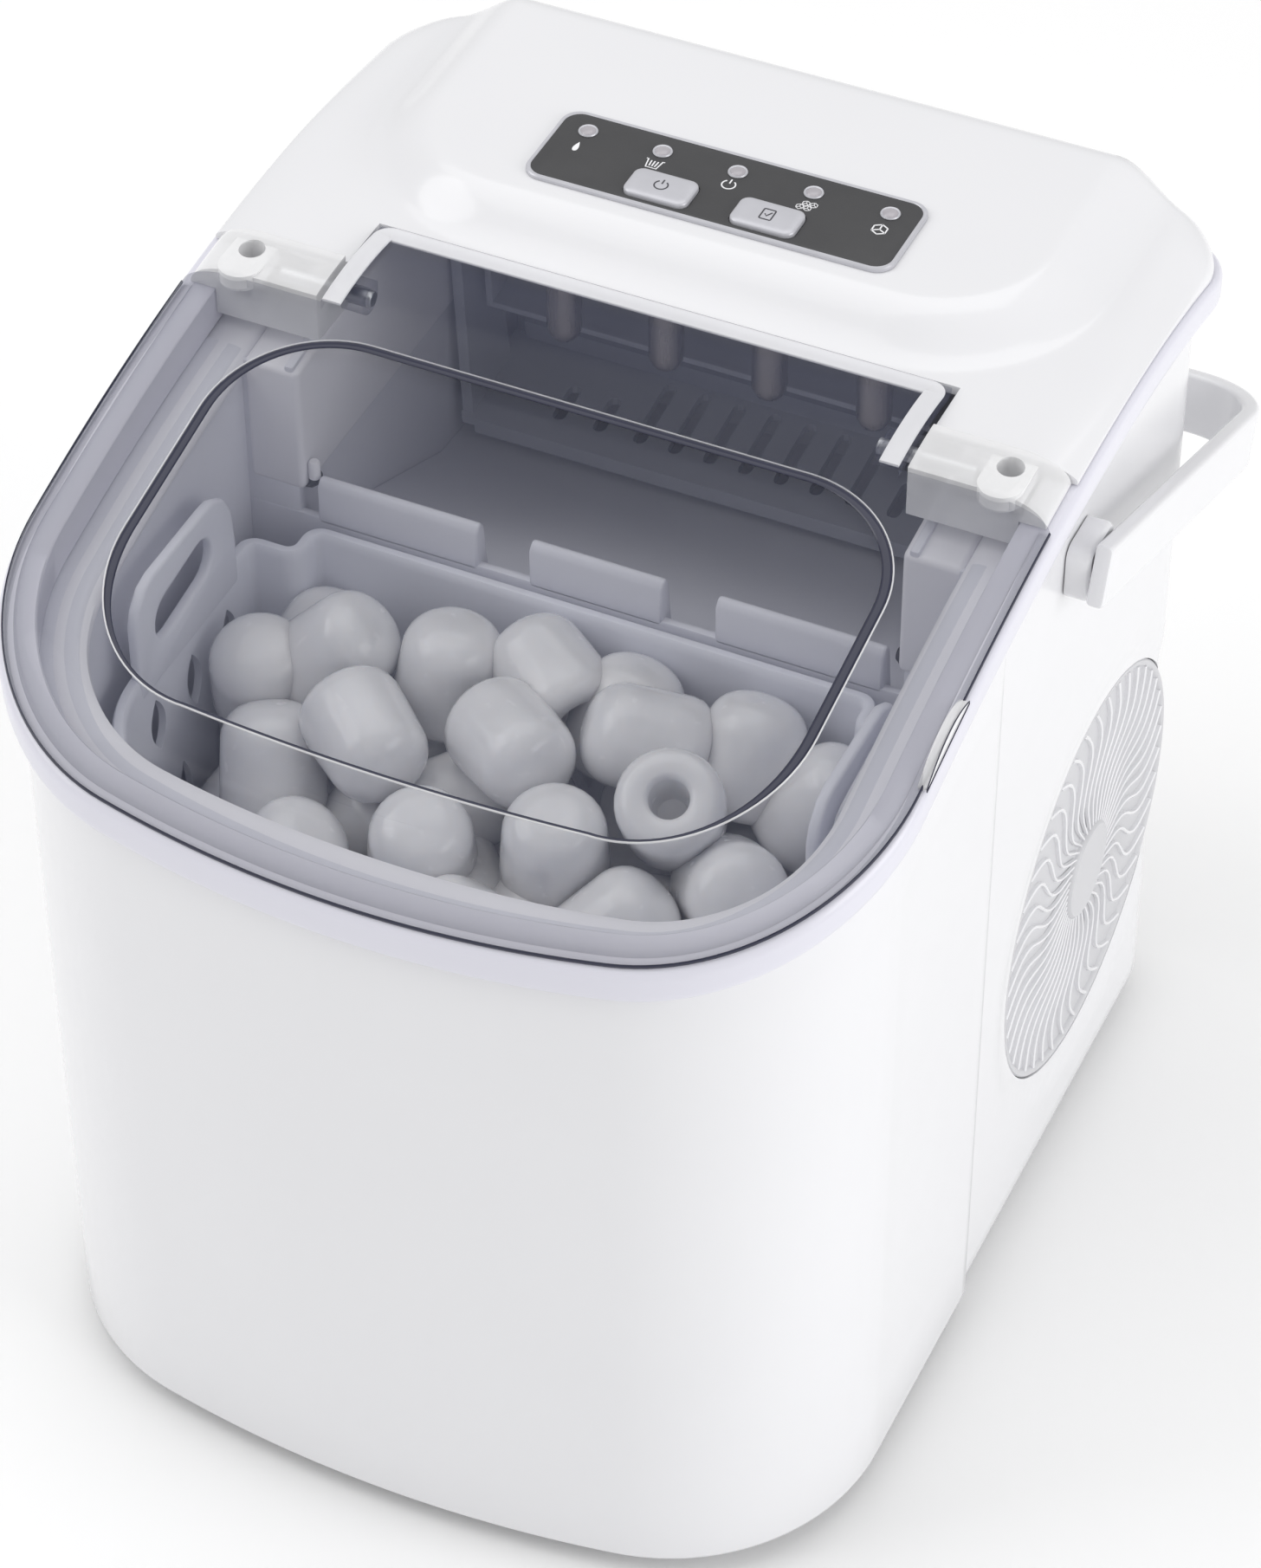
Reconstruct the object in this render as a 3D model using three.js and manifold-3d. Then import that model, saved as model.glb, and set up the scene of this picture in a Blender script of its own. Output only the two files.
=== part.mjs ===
// Counter-top ice maker: a bow-fronted shell, a see-through lid over an ice basket,
// a raised control hood, a swing-over carry handle and the refrigeration works inside.
// Millimetres. X is width (right positive), Y runs from the front to the back, Z is up.
import * as THREE from "three";
import { mergeVertices } from "three/addons/utils/BufferGeometryUtils.js";
import Module from "manifold-3d";

const wasm = await Module();
wasm.setup();

// ---------------------------------------------------------------- driving dimensions
const GAP = 0.3; // between pieces that touch
const RUNNING = 0.4; // around pins and sliding pieces

// outer shell
const SHELL_WIDTH = 218;
const SHELL_DEPTH = 266;
const SIDE_HEIGHT = 238.8; // shell bottom to the highest point of the sill
const FRONT_DROP = 41.3; // how much lower the sill is at the front
const REAR_DROP = 11.3; // and at the back
const CREST_Y = 190; // where the sill is highest
const FRONT_CORNER = 57;
const FRONT_BOW = 340; // radius of the bowed front
const REAR_CORNER = 22;
const WALL = 2.5;
const SEAM_Y = 121; // front shell meets rear shell
const SIDE_STEP = 1.5; // rear shell stands this much inside the front shell
const SIDE_LIFT = 2; // and this much higher off the floor
const FOOT_HEIGHT = 6;
const FOOT_RADIUS = 9;
const FOOT_INSET = 29;
const BASE_THICKNESS = 3;
const BASE_RIM = 10;

// band under the lid and the hood
const TRIM_PROUD = 4.5;
const TRIM_HEIGHT = 10.5;
const TRIM_INSET = 5;

// hood
const HOOD_RISE = 11.7; // hood top above the top of the band
const HOOD_SHELF = 2.9; // the lower shelf round the hood's raised top
const HOOD_PROUD = 3;
const HOOD_FRONT_Y = 154;
const HOOD_REAR_PROUD = 0.5;
const HOOD_EDGE = 10; // radius of the rear top edge
const RAISED_HALF = 80;
const RAISED_Y = 188;
const RAISED_CORNER = 28;
const RAISED_SLOPE = 17;
const SHOULDER = 13;
const NOTCH_HALF = 75.9;
const NOTCH_Y = 171;

// lid
const LID_PROUD = 3;
const LID_WALL = 2.5;
const LID_RIM = 16; // lid surface above the band at the front
const LID_RISE = 28.5; // how much the flat of the lid climbs
const LID_FLAT_Y = 135; // where the flat of the lid ends
const LID_ROLL = 18; // length over which the slope runs out
const LID_SHOULDER = 14;
const LID_BODY_Y = 137;
const LID_TONGUE_CLEAR = 1.5;
const HINGE_Y = 147;
const HINGE_PIN_RADIUS = 2;
const EAR_RADIUS = 4.2;
const EAR_WIDTH = 6;
const EAR_INSET = 2;
const GRIP_Y = 74;
const GRIP_LENGTH = 24;
const GRIP_HEIGHT = 3.4;
const GRIP_PROUD = 1.2;

// control panel
const PANEL_WIDTH = 96.8;
const PANEL_DEPTH = 29;
const PANEL_Y = 206.5;
const PANEL_CORNER = 5;
const PANEL_THICKNESS = 0.9;
const BUTTON_WIDTH = 17;
const BUTTON_DEPTH = 10.5;
const BUTTON_PITCH = 28;
const BUTTON_PROUD = 1.4;
const BUTTON_TRAVEL = 1.2;
const BUTTON_BELOW_CENTRE = 6.9;
const LENS_PITCH = 20;
const LENS_COUNT = 5;
const LENS_RADIUS = 2.1;
const LENS_ABOVE_CENTRE = 7.2;
const BOARD_THICKNESS = 1.6;

// tub and basket
const TUB_CLEAR = 15; // shell outline to the tub's inner face
const TUB_WALL = 2;
const TUB_FLOOR = 54.5; // above the shell bottom
const DIVIDER_Y = 131;
const DIVIDER_WALL = 2.5;
const CHEEK_HALF = 80; // half width of the ice-making bay behind the divider
const DIVIDER_BELOW_CREST = 59.3; // divider top below the band's crest
const LEDGE_HEIGHT = 11.5;
const LEDGE_DEPTH = 4.5;
const LEDGE_MIDDLE_HALF = 17.7;
const LEDGE_OUTER_START = 31.5;
const LEDGE_OUTER_END = 75;
const RAMP_DROP = 31;
const RAMP_END_Y = 206;
const BAY_REAR_Y = 252.5;
const BAY_FLOOR_FALL = 4;
const BASKET_CLEAR = 6;
const BASKET_WALL = 2;
const BASKET_DEPTH = 78;
const BASKET_REAR_Y = 128;
const BASKET_STEP = 10; // rear corners stand this much forward
const BASKET_STEP_HALF = 75;
const BASKET_LIFT = 15;
const TAB_HEIGHT = 26;
const TAB_START_Y = 60;
const TAB_END_Y = 108;
const SLIT_HEIGHT = 20;
const SLIT_WIDTH = 6;

// ice making
const FINGER_RADIUS = 4.5;
const FINGER_PITCH = 28;
const FRONT_FINGERS = 4;
const REAR_FINGERS = 5;
const FINGER_ROW_Y = 203;
const FINGER_INSIDE_TRAY = 13; // middle of each finger row to the tray's inner face
const FINGER_ABOVE_TRAY = 9; // finger tips above the bottom of the tray's trough
const HEADER_HEIGHT = 7;
const HEADER_BELOW_CREST = 5.3; // header underside below the band's crest
const HEADER_MARGIN = 8;
const TRAY_BELOW_CREST = 26.3; // tray axis below the band's crest
const TRAY_INNER = 27;
const TRAY_WALL = 2;
const TRAY_HALF = 70;
const TRAY_START = 274; // degrees round the tray axis, tray tipped back
const TRAY_SWEEP = 130;
const STUB_RADIUS = 4;
const SHOVEL_BELOW_AXIS = 60.5;
const SHOVEL_SLOPE = 7.2; // degrees
const SHOVEL_DEPTH = 34;
const SHOVEL_THICKNESS = 2.5;
const SHOVEL_ARM = 3;
const SLOT_WIDTH = 3.6;
const SLOT_LENGTH = 23;
const SHORT_SLOT_LENGTH = 13;
const SLOT_PITCH = 9.9;
const LONG_SLOTS = 7;
const OUTER_SLOT_PITCH = 11.5;

// cooling works
const COMPRESSOR_RADIUS = 46;
const COMPRESSOR_HEIGHT = 108;
const COMPRESSOR_X = -48;
const COMPRESSOR_Y = 202;
const GROMMET_HEIGHT = 5;
const FAN_Y = 201;
const FAN_Z = 87.3;
const GRILLE_RADIUS = 56.5;
const GRILLE_THICKNESS = 2;
const GRILLE_RECESS = 1;
const GRILLE_HUB = 13.5;
const GRILLE_SPOKES = 24;
const SPOKE_WIDTH = 2;
const FAN_RADIUS = 49;
const FAN_BLADES = 7;
const FAN_HUB_RADIUS = 14;
const FAN_HUB_LENGTH = 11;
const FAN_BEHIND_GRILLE = 4;
const SHROUD_SIZE = 112;
const SHROUD_DEPTH = 18;
const MOTOR_RADIUS = 15;
const MOTOR_LENGTH = 20;
const SHAFT_RADIUS = 2;
const CONDENSER_SIZE = 104;
const CONDENSER_THICKNESS = 18;
const CONDENSER_FINS = 14;
const PIPE_RADIUS = 2;

// carry handle
const PIVOT_Y = 170;
const PIVOT_BELOW_CREST = 36.3; // handle pivot below the band's crest
const HANDLE_ANGLE = -20; // degrees, parked
const HANDLE_CLEAR = 0.8; // beside the band
const HANDLE_THICKNESS = 4.5;
const HANDLE_HEIGHT = 16;
const HANDLE_BAR_THICKNESS = 5;
const HANDLE_REACH = 120.5; // pivot to the inner face of the bar
const HANDLE_CORNER = 16;
const HANDLE_END_RADIUS = 8.6;
const PIVOT_RADIUS = 4;
const PIVOT_FLANGE = 8;

// water and electrics
const PUMP_RADIUS = 16;
const PUMP_HEIGHT = 31;
const PUMP_X = 45;
const PUMP_Y = 80;
const HOSE_RADIUS = 3.5;
const DRAIN_RADIUS = 5;
const DRAIN_Y = 145;
const DRAIN_Z = 28;
const DRAIN_FLANGE = 9;
const INLET_X = -70;
const INLET_Z = 34;
const INLET_WIDTH = 24;
const INLET_HEIGHT = 20;
const INLET_DEPTH = 13;

// ---------------------------------------------------------------- derived places
const HALF = SHELL_WIDTH / 2;
const BOTTOM = FOOT_HEIGHT;
const CREST = BOTTOM + SIDE_HEIGHT + TRIM_HEIGHT; // top of the band at its crest
const HOOD_TOP = CREST + HOOD_RISE;
const HINGE_Z = CREST; // the hinge axis is level with the band's crest
const FINGER_ROWS_APART = 2 * (TRAY_INNER - FINGER_INSIDE_TRAY);
const FINGER_LENGTH = TRAY_BELOW_CREST - HEADER_BELOW_CREST + TRAY_INNER - FINGER_ABOVE_TRAY;
const TRAY_Y = FINGER_ROW_Y + FINGER_ROWS_APART / 2;
const TRAY_Z = CREST - TRAY_BELOW_CREST;
const DIVIDER_TOP = CREST - DIVIDER_BELOW_CREST;
const FLOOR_Z = BOTTOM + TUB_FLOOR; // tub floor, upper face
const BASE_TOP = BOTTOM + BASE_THICKNESS;
const RIGHT_INNER = HALF - SIDE_STEP - WALL; // rear shell's inner face
const RIGHT_OUTER = HALF - SIDE_STEP;
const REAR_INNER = SHELL_DEPTH - SIDE_STEP - WALL;
const REAR_OUTER = SHELL_DEPTH - SIDE_STEP;
const BIG = 600; // reaches past everything

// ---------------------------------------------------------------- materials
const COLORS = {
  white: [0xf1f1f3, 0.25, 0],
  trim: [0xdcdaeb, 0.3, 0],
  tint: [0x7d828f, 0.08, 0],
  clear: [0xe9edf2, 0.08, 0],
  tub: [0xbcc3d2, 0.45, 0],
  basket: [0xccd6e6, 0.4, 0],
  grey: [0x8d929c, 0.5, 0],
  panel: [0x3d3d3f, 0.55, 0],
  button: [0xc4c4ca, 0.35, 0.3],
  lens: [0xb9b4bd, 0.3, 0],
  rubber: [0x2c2c2e, 0.9, 0],
  steel: [0xb7b9bc, 0.3, 0.9],
  nickel: [0xa2958a, 0.3, 0.9],
  copper: [0xb87333, 0.35, 0.9],
  black: [0x1d1d20, 0.5, 0],
  board: [0x2f6b3c, 0.6, 0],
  grille: [0xd9d9dc, 0.45, 0],
  foam: [0xe6e0cf, 0.95, 0],
};

// ---------------------------------------------------------------- shape helpers
const radians = THREE.MathUtils.degToRad;

function arc(x, y, radius, from, to, steps) {
  const points = [];
  for (let i = 0; i <= steps; i += 1) {
    const angle = radians(from + ((to - from) * i) / steps);
    points.push([x + radius * Math.cos(angle), y + radius * Math.sin(angle)]);
  }
  return points;
}

function circle(x, y, radius, steps) {
  return arc(x, y, radius, 0, 360, steps).slice(0, steps);
}

function roundedRectangle(x0, y0, x1, y1, radius, steps = 4) {
  return [
    ...arc(x1 - radius, y0 + radius, radius, -90, 0, steps),
    ...arc(x1 - radius, y1 - radius, radius, 0, 90, steps),
    ...arc(x0 + radius, y1 - radius, radius, 90, 180, steps),
    ...arc(x0 + radius, y0 + radius, radius, 180, 270, steps),
  ];
}

// a slot with round ends from one centre to the other
function stadium(x0, y0, x1, y1, radius, steps = 5) {
  const angle = THREE.MathUtils.radToDeg(Math.atan2(y1 - y0, x1 - x0));
  return [
    ...arc(x1, y1, radius, angle - 90, angle + 90, steps),
    ...arc(x0, y0, radius, angle + 90, angle + 270, steps),
  ];
}

function toShape(points, holes = []) {
  const shape = new THREE.Shape(points.map(([x, y]) => new THREE.Vector2(x, y)));
  for (const hole of holes) {
    shape.holes.push(new THREE.Path(hole.map(([x, y]) => new THREE.Vector2(x, y))));
  }
  return shape;
}

// an outline drawn in plan, standing from z0 to z1
function extrudeZ(points, z0, z1, holes = []) {
  const geometry = new THREE.ExtrudeGeometry(toShape(points, holes), {
    depth: z1 - z0,
    bevelEnabled: false,
  });
  return geometry.translate(0, 0, z0);
}

// an outline drawn in side view as (y, z), running from x0 to x1
function extrudeX(points, x0, x1, holes = []) {
  const geometry = extrudeZ(points, 0, x1 - x0, holes);
  const basis = new THREE.Matrix4().makeBasis(
    new THREE.Vector3(0, 1, 0),
    new THREE.Vector3(0, 0, 1),
    new THREE.Vector3(1, 0, 0),
  );
  return geometry.applyMatrix4(basis).translate(x0, 0, 0);
}

// an outline drawn from behind as (x, z), running from y0 to y1
function extrudeY(points, y0, y1, holes = []) {
  const geometry = extrudeZ(points, 0, y1 - y0, holes);
  const basis = new THREE.Matrix4().makeBasis(
    new THREE.Vector3(1, 0, 0),
    new THREE.Vector3(0, 0, 1),
    new THREE.Vector3(0, -1, 0),
  );
  return geometry.applyMatrix4(basis).translate(0, y1, 0);
}

function box(x0, x1, y0, y1, z0, z1) {
  const geometry = new THREE.BoxGeometry(x1 - x0, y1 - y0, z1 - z0);
  return geometry.translate((x0 + x1) / 2, (y0 + y1) / 2, (z0 + z1) / 2);
}

function rodX(x0, x1, y, z, radius, steps = 16) {
  return extrudeX(circle(y, z, radius, steps), x0, x1);
}

function rodZ(x, y, z0, z1, radius, steps = 16) {
  return extrudeZ(circle(x, y, radius, steps), z0, z1);
}

// a turned piece about a vertical axis, from (radius, z) pairs that start and end on it
function turned(profile, x, y, steps = 20) {
  const points = profile.map(([radius, z]) => new THREE.Vector2(radius, z));
  return new THREE.LatheGeometry(points, steps).rotateX(Math.PI / 2).translate(x, y, 0);
}

// the same about an axis along X, from (radius, x) pairs
function turnedX(profile, y, z, steps = 20) {
  const points = profile.map(([radius, x]) => new THREE.Vector2(radius, x));
  return new THREE.LatheGeometry(points, steps).rotateZ(-Math.PI / 2).translate(0, y, z);
}

// a round bar along straight runs with rounded bends between them
function tube(corners, radius, bend, sides = 8) {
  const at = corners.map((corner) => new THREE.Vector3(...corner));
  const toward = (from, to) => to.clone().sub(from).normalize().multiplyScalar(bend).add(from);
  const stations = [at[0]];
  for (let i = 1; i + 1 < at.length; i += 1) {
    const start = toward(at[i], at[i - 1]);
    const end = toward(at[i], at[i + 1]);
    stations.push(...new THREE.QuadraticBezierCurve3(start, at[i], end).getPoints(5));
  }
  stations.push(at.at(-1));
  return sweep(stations, radius, sides);
}

// rings of points, one at each station, kept from twisting by carrying one direction along
function sweep(stations, radius, sides) {
  const last = stations.length - 1;
  const rings = [];
  let side = null;
  for (let i = 0; i <= last; i += 1) {
    const forward = stations[Math.min(i + 1, last)].clone().sub(stations[Math.max(i - 1, 0)]);
    forward.normalize();
    if (!side) {
      const start = Math.abs(forward.x) < 0.9 ? [1, 0, 0] : [0, 1, 0];
      side = new THREE.Vector3(...start);
    }
    side.addScaledVector(forward, -side.dot(forward)).normalize();
    const up = forward.clone().cross(side);
    const ring = circle(0, 0, radius, sides).map(([u, v]) => {
      return stations[i].clone().addScaledVector(side, u).addScaledVector(up, v).toArray();
    });
    rings.push(ring);
  }
  const triangles = [];
  for (let i = 0; i < last; i += 1) {
    for (let j = 0; j < sides; j += 1) {
      const a = i * sides + j;
      const b = i * sides + ((j + 1) % sides);
      triangles.push([a, b, b + sides], [a, b + sides, a + sides]);
    }
  }
  for (let j = 1; j + 1 < sides; j += 1) {
    triangles.push([0, j + 1, j], [last * sides, last * sides + j, last * sides + j + 1]);
  }
  return fromTriangles(rings.flat(), triangles);
}

function fromTriangles(positions, triangles) {
  const geometry = new THREE.BufferGeometry();
  geometry.setAttribute("position", new THREE.Float32BufferAttribute(positions.flat(), 3));
  geometry.setIndex(triangles.flat());
  return geometry;
}

function toSolid(geometry) {
  const bare = new THREE.BufferGeometry();
  bare.setAttribute("position", geometry.getAttribute("position").clone());
  if (geometry.index) {
    bare.setIndex(geometry.index.clone());
  }
  const merged = mergeVertices(bare, 1e-4);
  const mesh = new wasm.Mesh({
    numProp: 3,
    vertProperties: new Float32Array(merged.getAttribute("position").array),
    triVerts: new Uint32Array(merged.index.array),
  });
  return new wasm.Manifold(mesh);
}

function toGeometry(solid) {
  const mesh = solid.getMesh();
  const geometry = new THREE.BufferGeometry();
  geometry.setAttribute("position", new THREE.Float32BufferAttribute(mesh.vertProperties, 3));
  geometry.setIndex(Array.from(mesh.triVerts));
  return geometry;
}

function combine(operation, first, others) {
  let solid = toSolid(first);
  for (const other of others.flat()) {
    solid = solid[operation](toSolid(other));
  }
  return toGeometry(solid);
}

const join = (first, ...others) => combine("add", first, others);
const cut = (first, ...others) => combine("subtract", first, others);
const common = (first, ...others) => combine("intersect", first, others);

function mirrorX(geometry) {
  const flipped = geometry.clone().scale(-1, 1, 1);
  const index = flipped.index ? Array.from(flipped.index.array) : null;
  const order = index ?? Array.from({ length: flipped.getAttribute("position").count }, (_, i) => i);
  for (let i = 0; i < order.length; i += 3) {
    [order[i], order[i + 1]] = [order[i + 1], order[i]];
  }
  flipped.setIndex(order);
  return flipped;
}

// ---------------------------------------------------------------- the shell's curves
// height of the shell's top edge: two parabolas that meet at the crest
function sill(y) {
  const front = y < CREST_Y;
  const drop = front ? FRONT_DROP : REAR_DROP;
  const reach = front ? CREST_Y : SHELL_DEPTH - CREST_Y;
  return BOTTOM + SIDE_HEIGHT - drop * ((y - CREST_Y) / reach) ** 2;
}

const bandTop = (y) => sill(y) + TRIM_HEIGHT;

// centre of the front corner's arc and the angle where it meets the bowed front
const CORNER_X = HALF - FRONT_CORNER;
const CORNER_Y = FRONT_BOW - Math.sqrt((FRONT_BOW - FRONT_CORNER) ** 2 - CORNER_X ** 2);
const BOW_ANGLE = THREE.MathUtils.radToDeg(Math.atan2(CORNER_X, FRONT_BOW - CORNER_Y));

// the bowed front and two straight sides, from rear left round the front to rear right;
// positive grow is outwards
function bowOutline(grow, rearY) {
  const half = HALF + grow;
  const corner = FRONT_CORNER + grow;
  const right = [
    ...arc(0, FRONT_BOW, FRONT_BOW + grow, 270, 270 + BOW_ANGLE, 4),
    ...arc(CORNER_X, CORNER_Y, corner, 270 + BOW_ANGLE, 360, 8).slice(1),
  ];
  const straight = 8;
  for (let i = 1; i <= straight; i += 1) {
    right.push([half, CORNER_Y + ((rearY - CORNER_Y) * i) / straight]);
  }
  const left = right.slice(1).reverse().map(([x, y]) => [-x, y]);
  return [...left, ...right];
}

// the whole plan of the body as a closed outline
function bodyOutline(grow) {
  const corner = REAR_CORNER + grow;
  const centreX = HALF - REAR_CORNER;
  const centreY = SHELL_DEPTH - REAR_CORNER;
  const rearRight = arc(centreX, centreY, corner, 0, 90, 5).slice(1);
  const rearLeft = arc(-centreX, centreY, corner, 90, 180, 5).slice(0, -1);
  return [...bowOutline(grow, centreY), ...rearRight, ...rearLeft];
}

// a closed band between two outlines with the same number of points
function band(outer, inner, bottomAt, topAt) {
  const count = outer.length;
  const rings = [
    outer.map(([x, y]) => [x, y, bottomAt(y)]),
    outer.map(([x, y]) => [x, y, topAt(y)]),
    inner.map(([x, y]) => [x, y, topAt(y)]),
    inner.map(([x, y]) => [x, y, bottomAt(y)]),
  ];
  const triangles = [];
  for (let ring = 0; ring < 4; ring += 1) {
    const here = ring * count;
    const next = ((ring + 1) % 4) * count;
    for (let i = 0; i < count; i += 1) {
      const j = (i + 1) % count;
      triangles.push([here + i, here + j, next + j], [here + i, next + j, next + i]);
    }
  }
  return fromTriangles(rings.flat(), triangles);
}

// everything above, or below, a curve drawn in side view
function sideSlab(bottomAt, topAt, y0, y1, steps) {
  const ys = Array.from({ length: steps + 1 }, (_, i) => y0 + ((y1 - y0) * i) / steps);
  const lower = ys.map((y) => [y, bottomAt(y)]);
  const upper = ys.map((y) => [y, topAt(y)]).reverse();
  return extrudeX([...lower, ...upper], -BIG / 2, BIG / 2);
}

const above = (heightAt) => sideSlab(heightAt, () => BIG, -20, SHELL_DEPTH + 20, 40);
const below = (heightAt) => sideSlab(() => -BIG, heightAt, -20, SHELL_DEPTH + 20, 40);

// ---------------------------------------------------------------- casing
function makeBaseTray() {
  const edge = -(WALL + SIDE_STEP + GAP);
  const floor = extrudeZ(bodyOutline(edge), BOTTOM, BASE_TOP);
  const rimBottom = () => BASE_TOP - 1;
  const rimTop = () => BASE_TOP + BASE_RIM;
  const rim = band(bodyOutline(edge), bodyOutline(edge - TUB_WALL), rimBottom, rimTop);
  const bosses = grommetPlaces().map(([x, y]) => rodZ(x, y, BASE_TOP - 1, BASE_TOP + 4, 4, 12));
  return join(floor, rim, bosses);
}

function makeFoot(x, y) {
  const profile = [
    [0, 0],
    [FOOT_RADIUS - 1, 0],
    [FOOT_RADIUS, 1],
    [FOOT_RADIUS - 1, FOOT_HEIGHT - GAP],
    [0, FOOT_HEIGHT - GAP],
  ];
  return turned(profile, x, y, 16);
}

function makeFrontShell() {
  const wall = band(bodyOutline(0), bodyOutline(-WALL), () => BOTTOM, (y) => sill(y) - GAP);
  return cut(wall, box(-BIG, BIG, SEAM_Y, BIG, -BIG, BIG));
}

function makeRearShell() {
  const outer = bodyOutline(-SIDE_STEP);
  const inner = bodyOutline(-SIDE_STEP - WALL);
  const wall = band(outer, inner, () => BOTTOM + SIDE_LIFT, (y) => sill(y) - GAP);
  const x0 = RIGHT_INNER - 1;
  const fanHole = rodX(x0, HALF, FAN_Y, FAN_Z, GRILLE_RADIUS + GAP, 40);
  const pivotZ = CREST - PIVOT_BELOW_CREST;
  const pivotHole = rodX(-HALF, HALF, PIVOT_Y, pivotZ, PIVOT_RADIUS + GAP, 12);
  const drainHole = rodX(-HALF, -x0, DRAIN_Y, DRAIN_Z, DRAIN_RADIUS + RUNNING, 16);
  const inletHole = box(
    INLET_X - INLET_WIDTH / 2,
    INLET_X + INLET_WIDTH / 2,
    REAR_INNER - 1,
    BIG,
    INLET_Z - INLET_HEIGHT / 2,
    INLET_Z + INLET_HEIGHT / 2,
  );
  return cut(
    wall,
    box(-BIG, BIG, -BIG, SEAM_Y + GAP, -BIG, BIG),
    fanHole,
    pivotHole,
    drainHole,
    inletHole,
    sideLouvres(),
  );
}

// rows of upright air slots in the left wall, behind the compressor
function sideLouvres() {
  const slots = [];
  const columns = 9;
  const pitch = 9;
  for (let i = 0; i < columns; i += 1) {
    const y = FAN_Y + (i - (columns - 1) / 2) * pitch;
    for (const z of [FAN_Z - 26, FAN_Z + 26]) {
      slots.push(extrudeX(stadium(y, z - 17, y, z + 17, 2, 3), -HALF, -RIGHT_INNER + 1));
    }
  }
  return slots;
}

function makeTrimFrame() {
  return band(bodyOutline(TRIM_PROUD), bodyOutline(-TRIM_INSET), sill, bandTop);
}

// ---------------------------------------------------------------- hood
function smoothStep(t) {
  const clamped = Math.min(1, Math.max(0, t));
  return clamped * clamped * (3 - 2 * clamped);
}

// height of the hood's skin: a shelf with rounded shoulders, and a raised top
// whose edge climbs in an S-curve
function hoodHeight(x, y, halfWidth, rearY) {
  const edge = bandTop(y) + 1;
  const shelf = CREST + HOOD_SHELF;
  const inward = Math.min(1, Math.max(0, (halfWidth - Math.abs(x)) / SHOULDER));
  const low = edge + (shelf - edge) * Math.sqrt(1 - (1 - inward) ** 2);
  const dx = Math.abs(x) - (RAISED_HALF - RAISED_CORNER);
  const dy = RAISED_Y + RAISED_CORNER - y;
  const outside = Math.hypot(Math.max(dx, 0), Math.max(dy, 0)) + Math.min(Math.max(dx, dy), 0);
  const rise = smoothStep(1 - (outside - RAISED_CORNER) / RAISED_SLOPE);
  const past = Math.max(0, y - (rearY - HOOD_EDGE));
  const roll = HOOD_EDGE - Math.sqrt(Math.max(0, HOOD_EDGE ** 2 - past ** 2));
  return low + (HOOD_TOP - low) * rise - roll;
}

const HOOD_COLUMNS = [0, 0.25, 0.5, 0.62, 0.68, 0.72, 0.76, 0.8, 0.84, 0.88, 0.92, 0.96, 0.985, 1];
const HOOD_ROWS = [0, 4, 9, 14, 19, 24, 29, 34, 42, 60, 78];

// a loaf under the hood's skin, made smaller by inset
function hoodLoaf(inset, bottomZ) {
  const halfWidth = HALF + HOOD_PROUD - inset;
  const rearY = SHELL_DEPTH + HOOD_REAR_PROUD - inset;
  const corner = REAR_CORNER + HOOD_PROUD - inset;
  const frontY = HOOD_FRONT_Y + inset;
  const rows = HOOD_ROWS.map((step) => frontY + step);
  const cornerRows = arc(0, rearY - corner, corner, 0, 90, 7).map(([, y]) => y);
  rows.push(...cornerRows.filter((y) => y > rows.at(-1) + 1));
  const left = HOOD_COLUMNS.slice(1).reverse().map((column) => -column);
  const columns = [...left, ...HOOD_COLUMNS];
  const positions = [];
  for (const y of rows) {
    const past = Math.max(0, y - (rearY - corner));
    const width = halfWidth - corner + Math.sqrt(Math.max(0, corner ** 2 - past ** 2));
    for (const column of columns) {
      const x = column * width;
      positions.push([x, y, hoodHeight(x, y, width, rearY) - inset]);
    }
  }
  const count = positions.length;
  positions.push(...positions.map(([x, y]) => [x, y, bottomZ]));
  const wide = columns.length;
  const triangles = [];
  for (let row = 0; row + 1 < rows.length; row += 1) {
    for (let column = 0; column + 1 < wide; column += 1) {
      const a = row * wide + column;
      const b = a + wide;
      triangles.push([a, a + 1, b + 1], [a, b + 1, b]);
      triangles.push([a + count, b + 1 + count, a + 1 + count]);
      triangles.push([a + count, b + count, b + 1 + count]);
    }
  }
  const acrossFront = columns.map((_, column) => column);
  const upRight = rows.slice(1, -1).map((_, row) => (row + 2) * wide - 1);
  const acrossBack = columns.map((_, column) => rows.length * wide - 1 - column);
  const downLeft = rows.slice(1, -1).map((_, row) => (rows.length - 2 - row) * wide);
  const rim = [...acrossFront, ...upRight, ...acrossBack, ...downLeft];
  rim.forEach((a, i) => {
    const b = rim[(i + 1) % rim.length];
    triangles.push([a, a + count, b + count], [a, b + count, b]);
  });
  return fromTriangles(positions, triangles);
}

function makeTopCover() {
  const lowest = CREST - 60;
  const tongueRoom = box(-NOTCH_HALF, NOTCH_HALF, -BIG, NOTCH_Y, -BIG, BIG);
  const frontLip = box(
    -NOTCH_HALF - WALL,
    NOTCH_HALF + WALL,
    HOOD_FRONT_Y - 1,
    NOTCH_Y + WALL,
    lowest - 2,
    BIG,
  );
  const cavity = cut(hoodLoaf(WALL, lowest - 1), frontLip);
  const shell = cut(hoodLoaf(0, lowest), cavity, tongueRoom, below((y) => bandTop(y) + GAP));
  const holes = controlOutlines(RUNNING).map((outline) => extrudeZ(outline, HOOD_TOP - 9, BIG));
  return cut(shell, holes);
}

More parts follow.
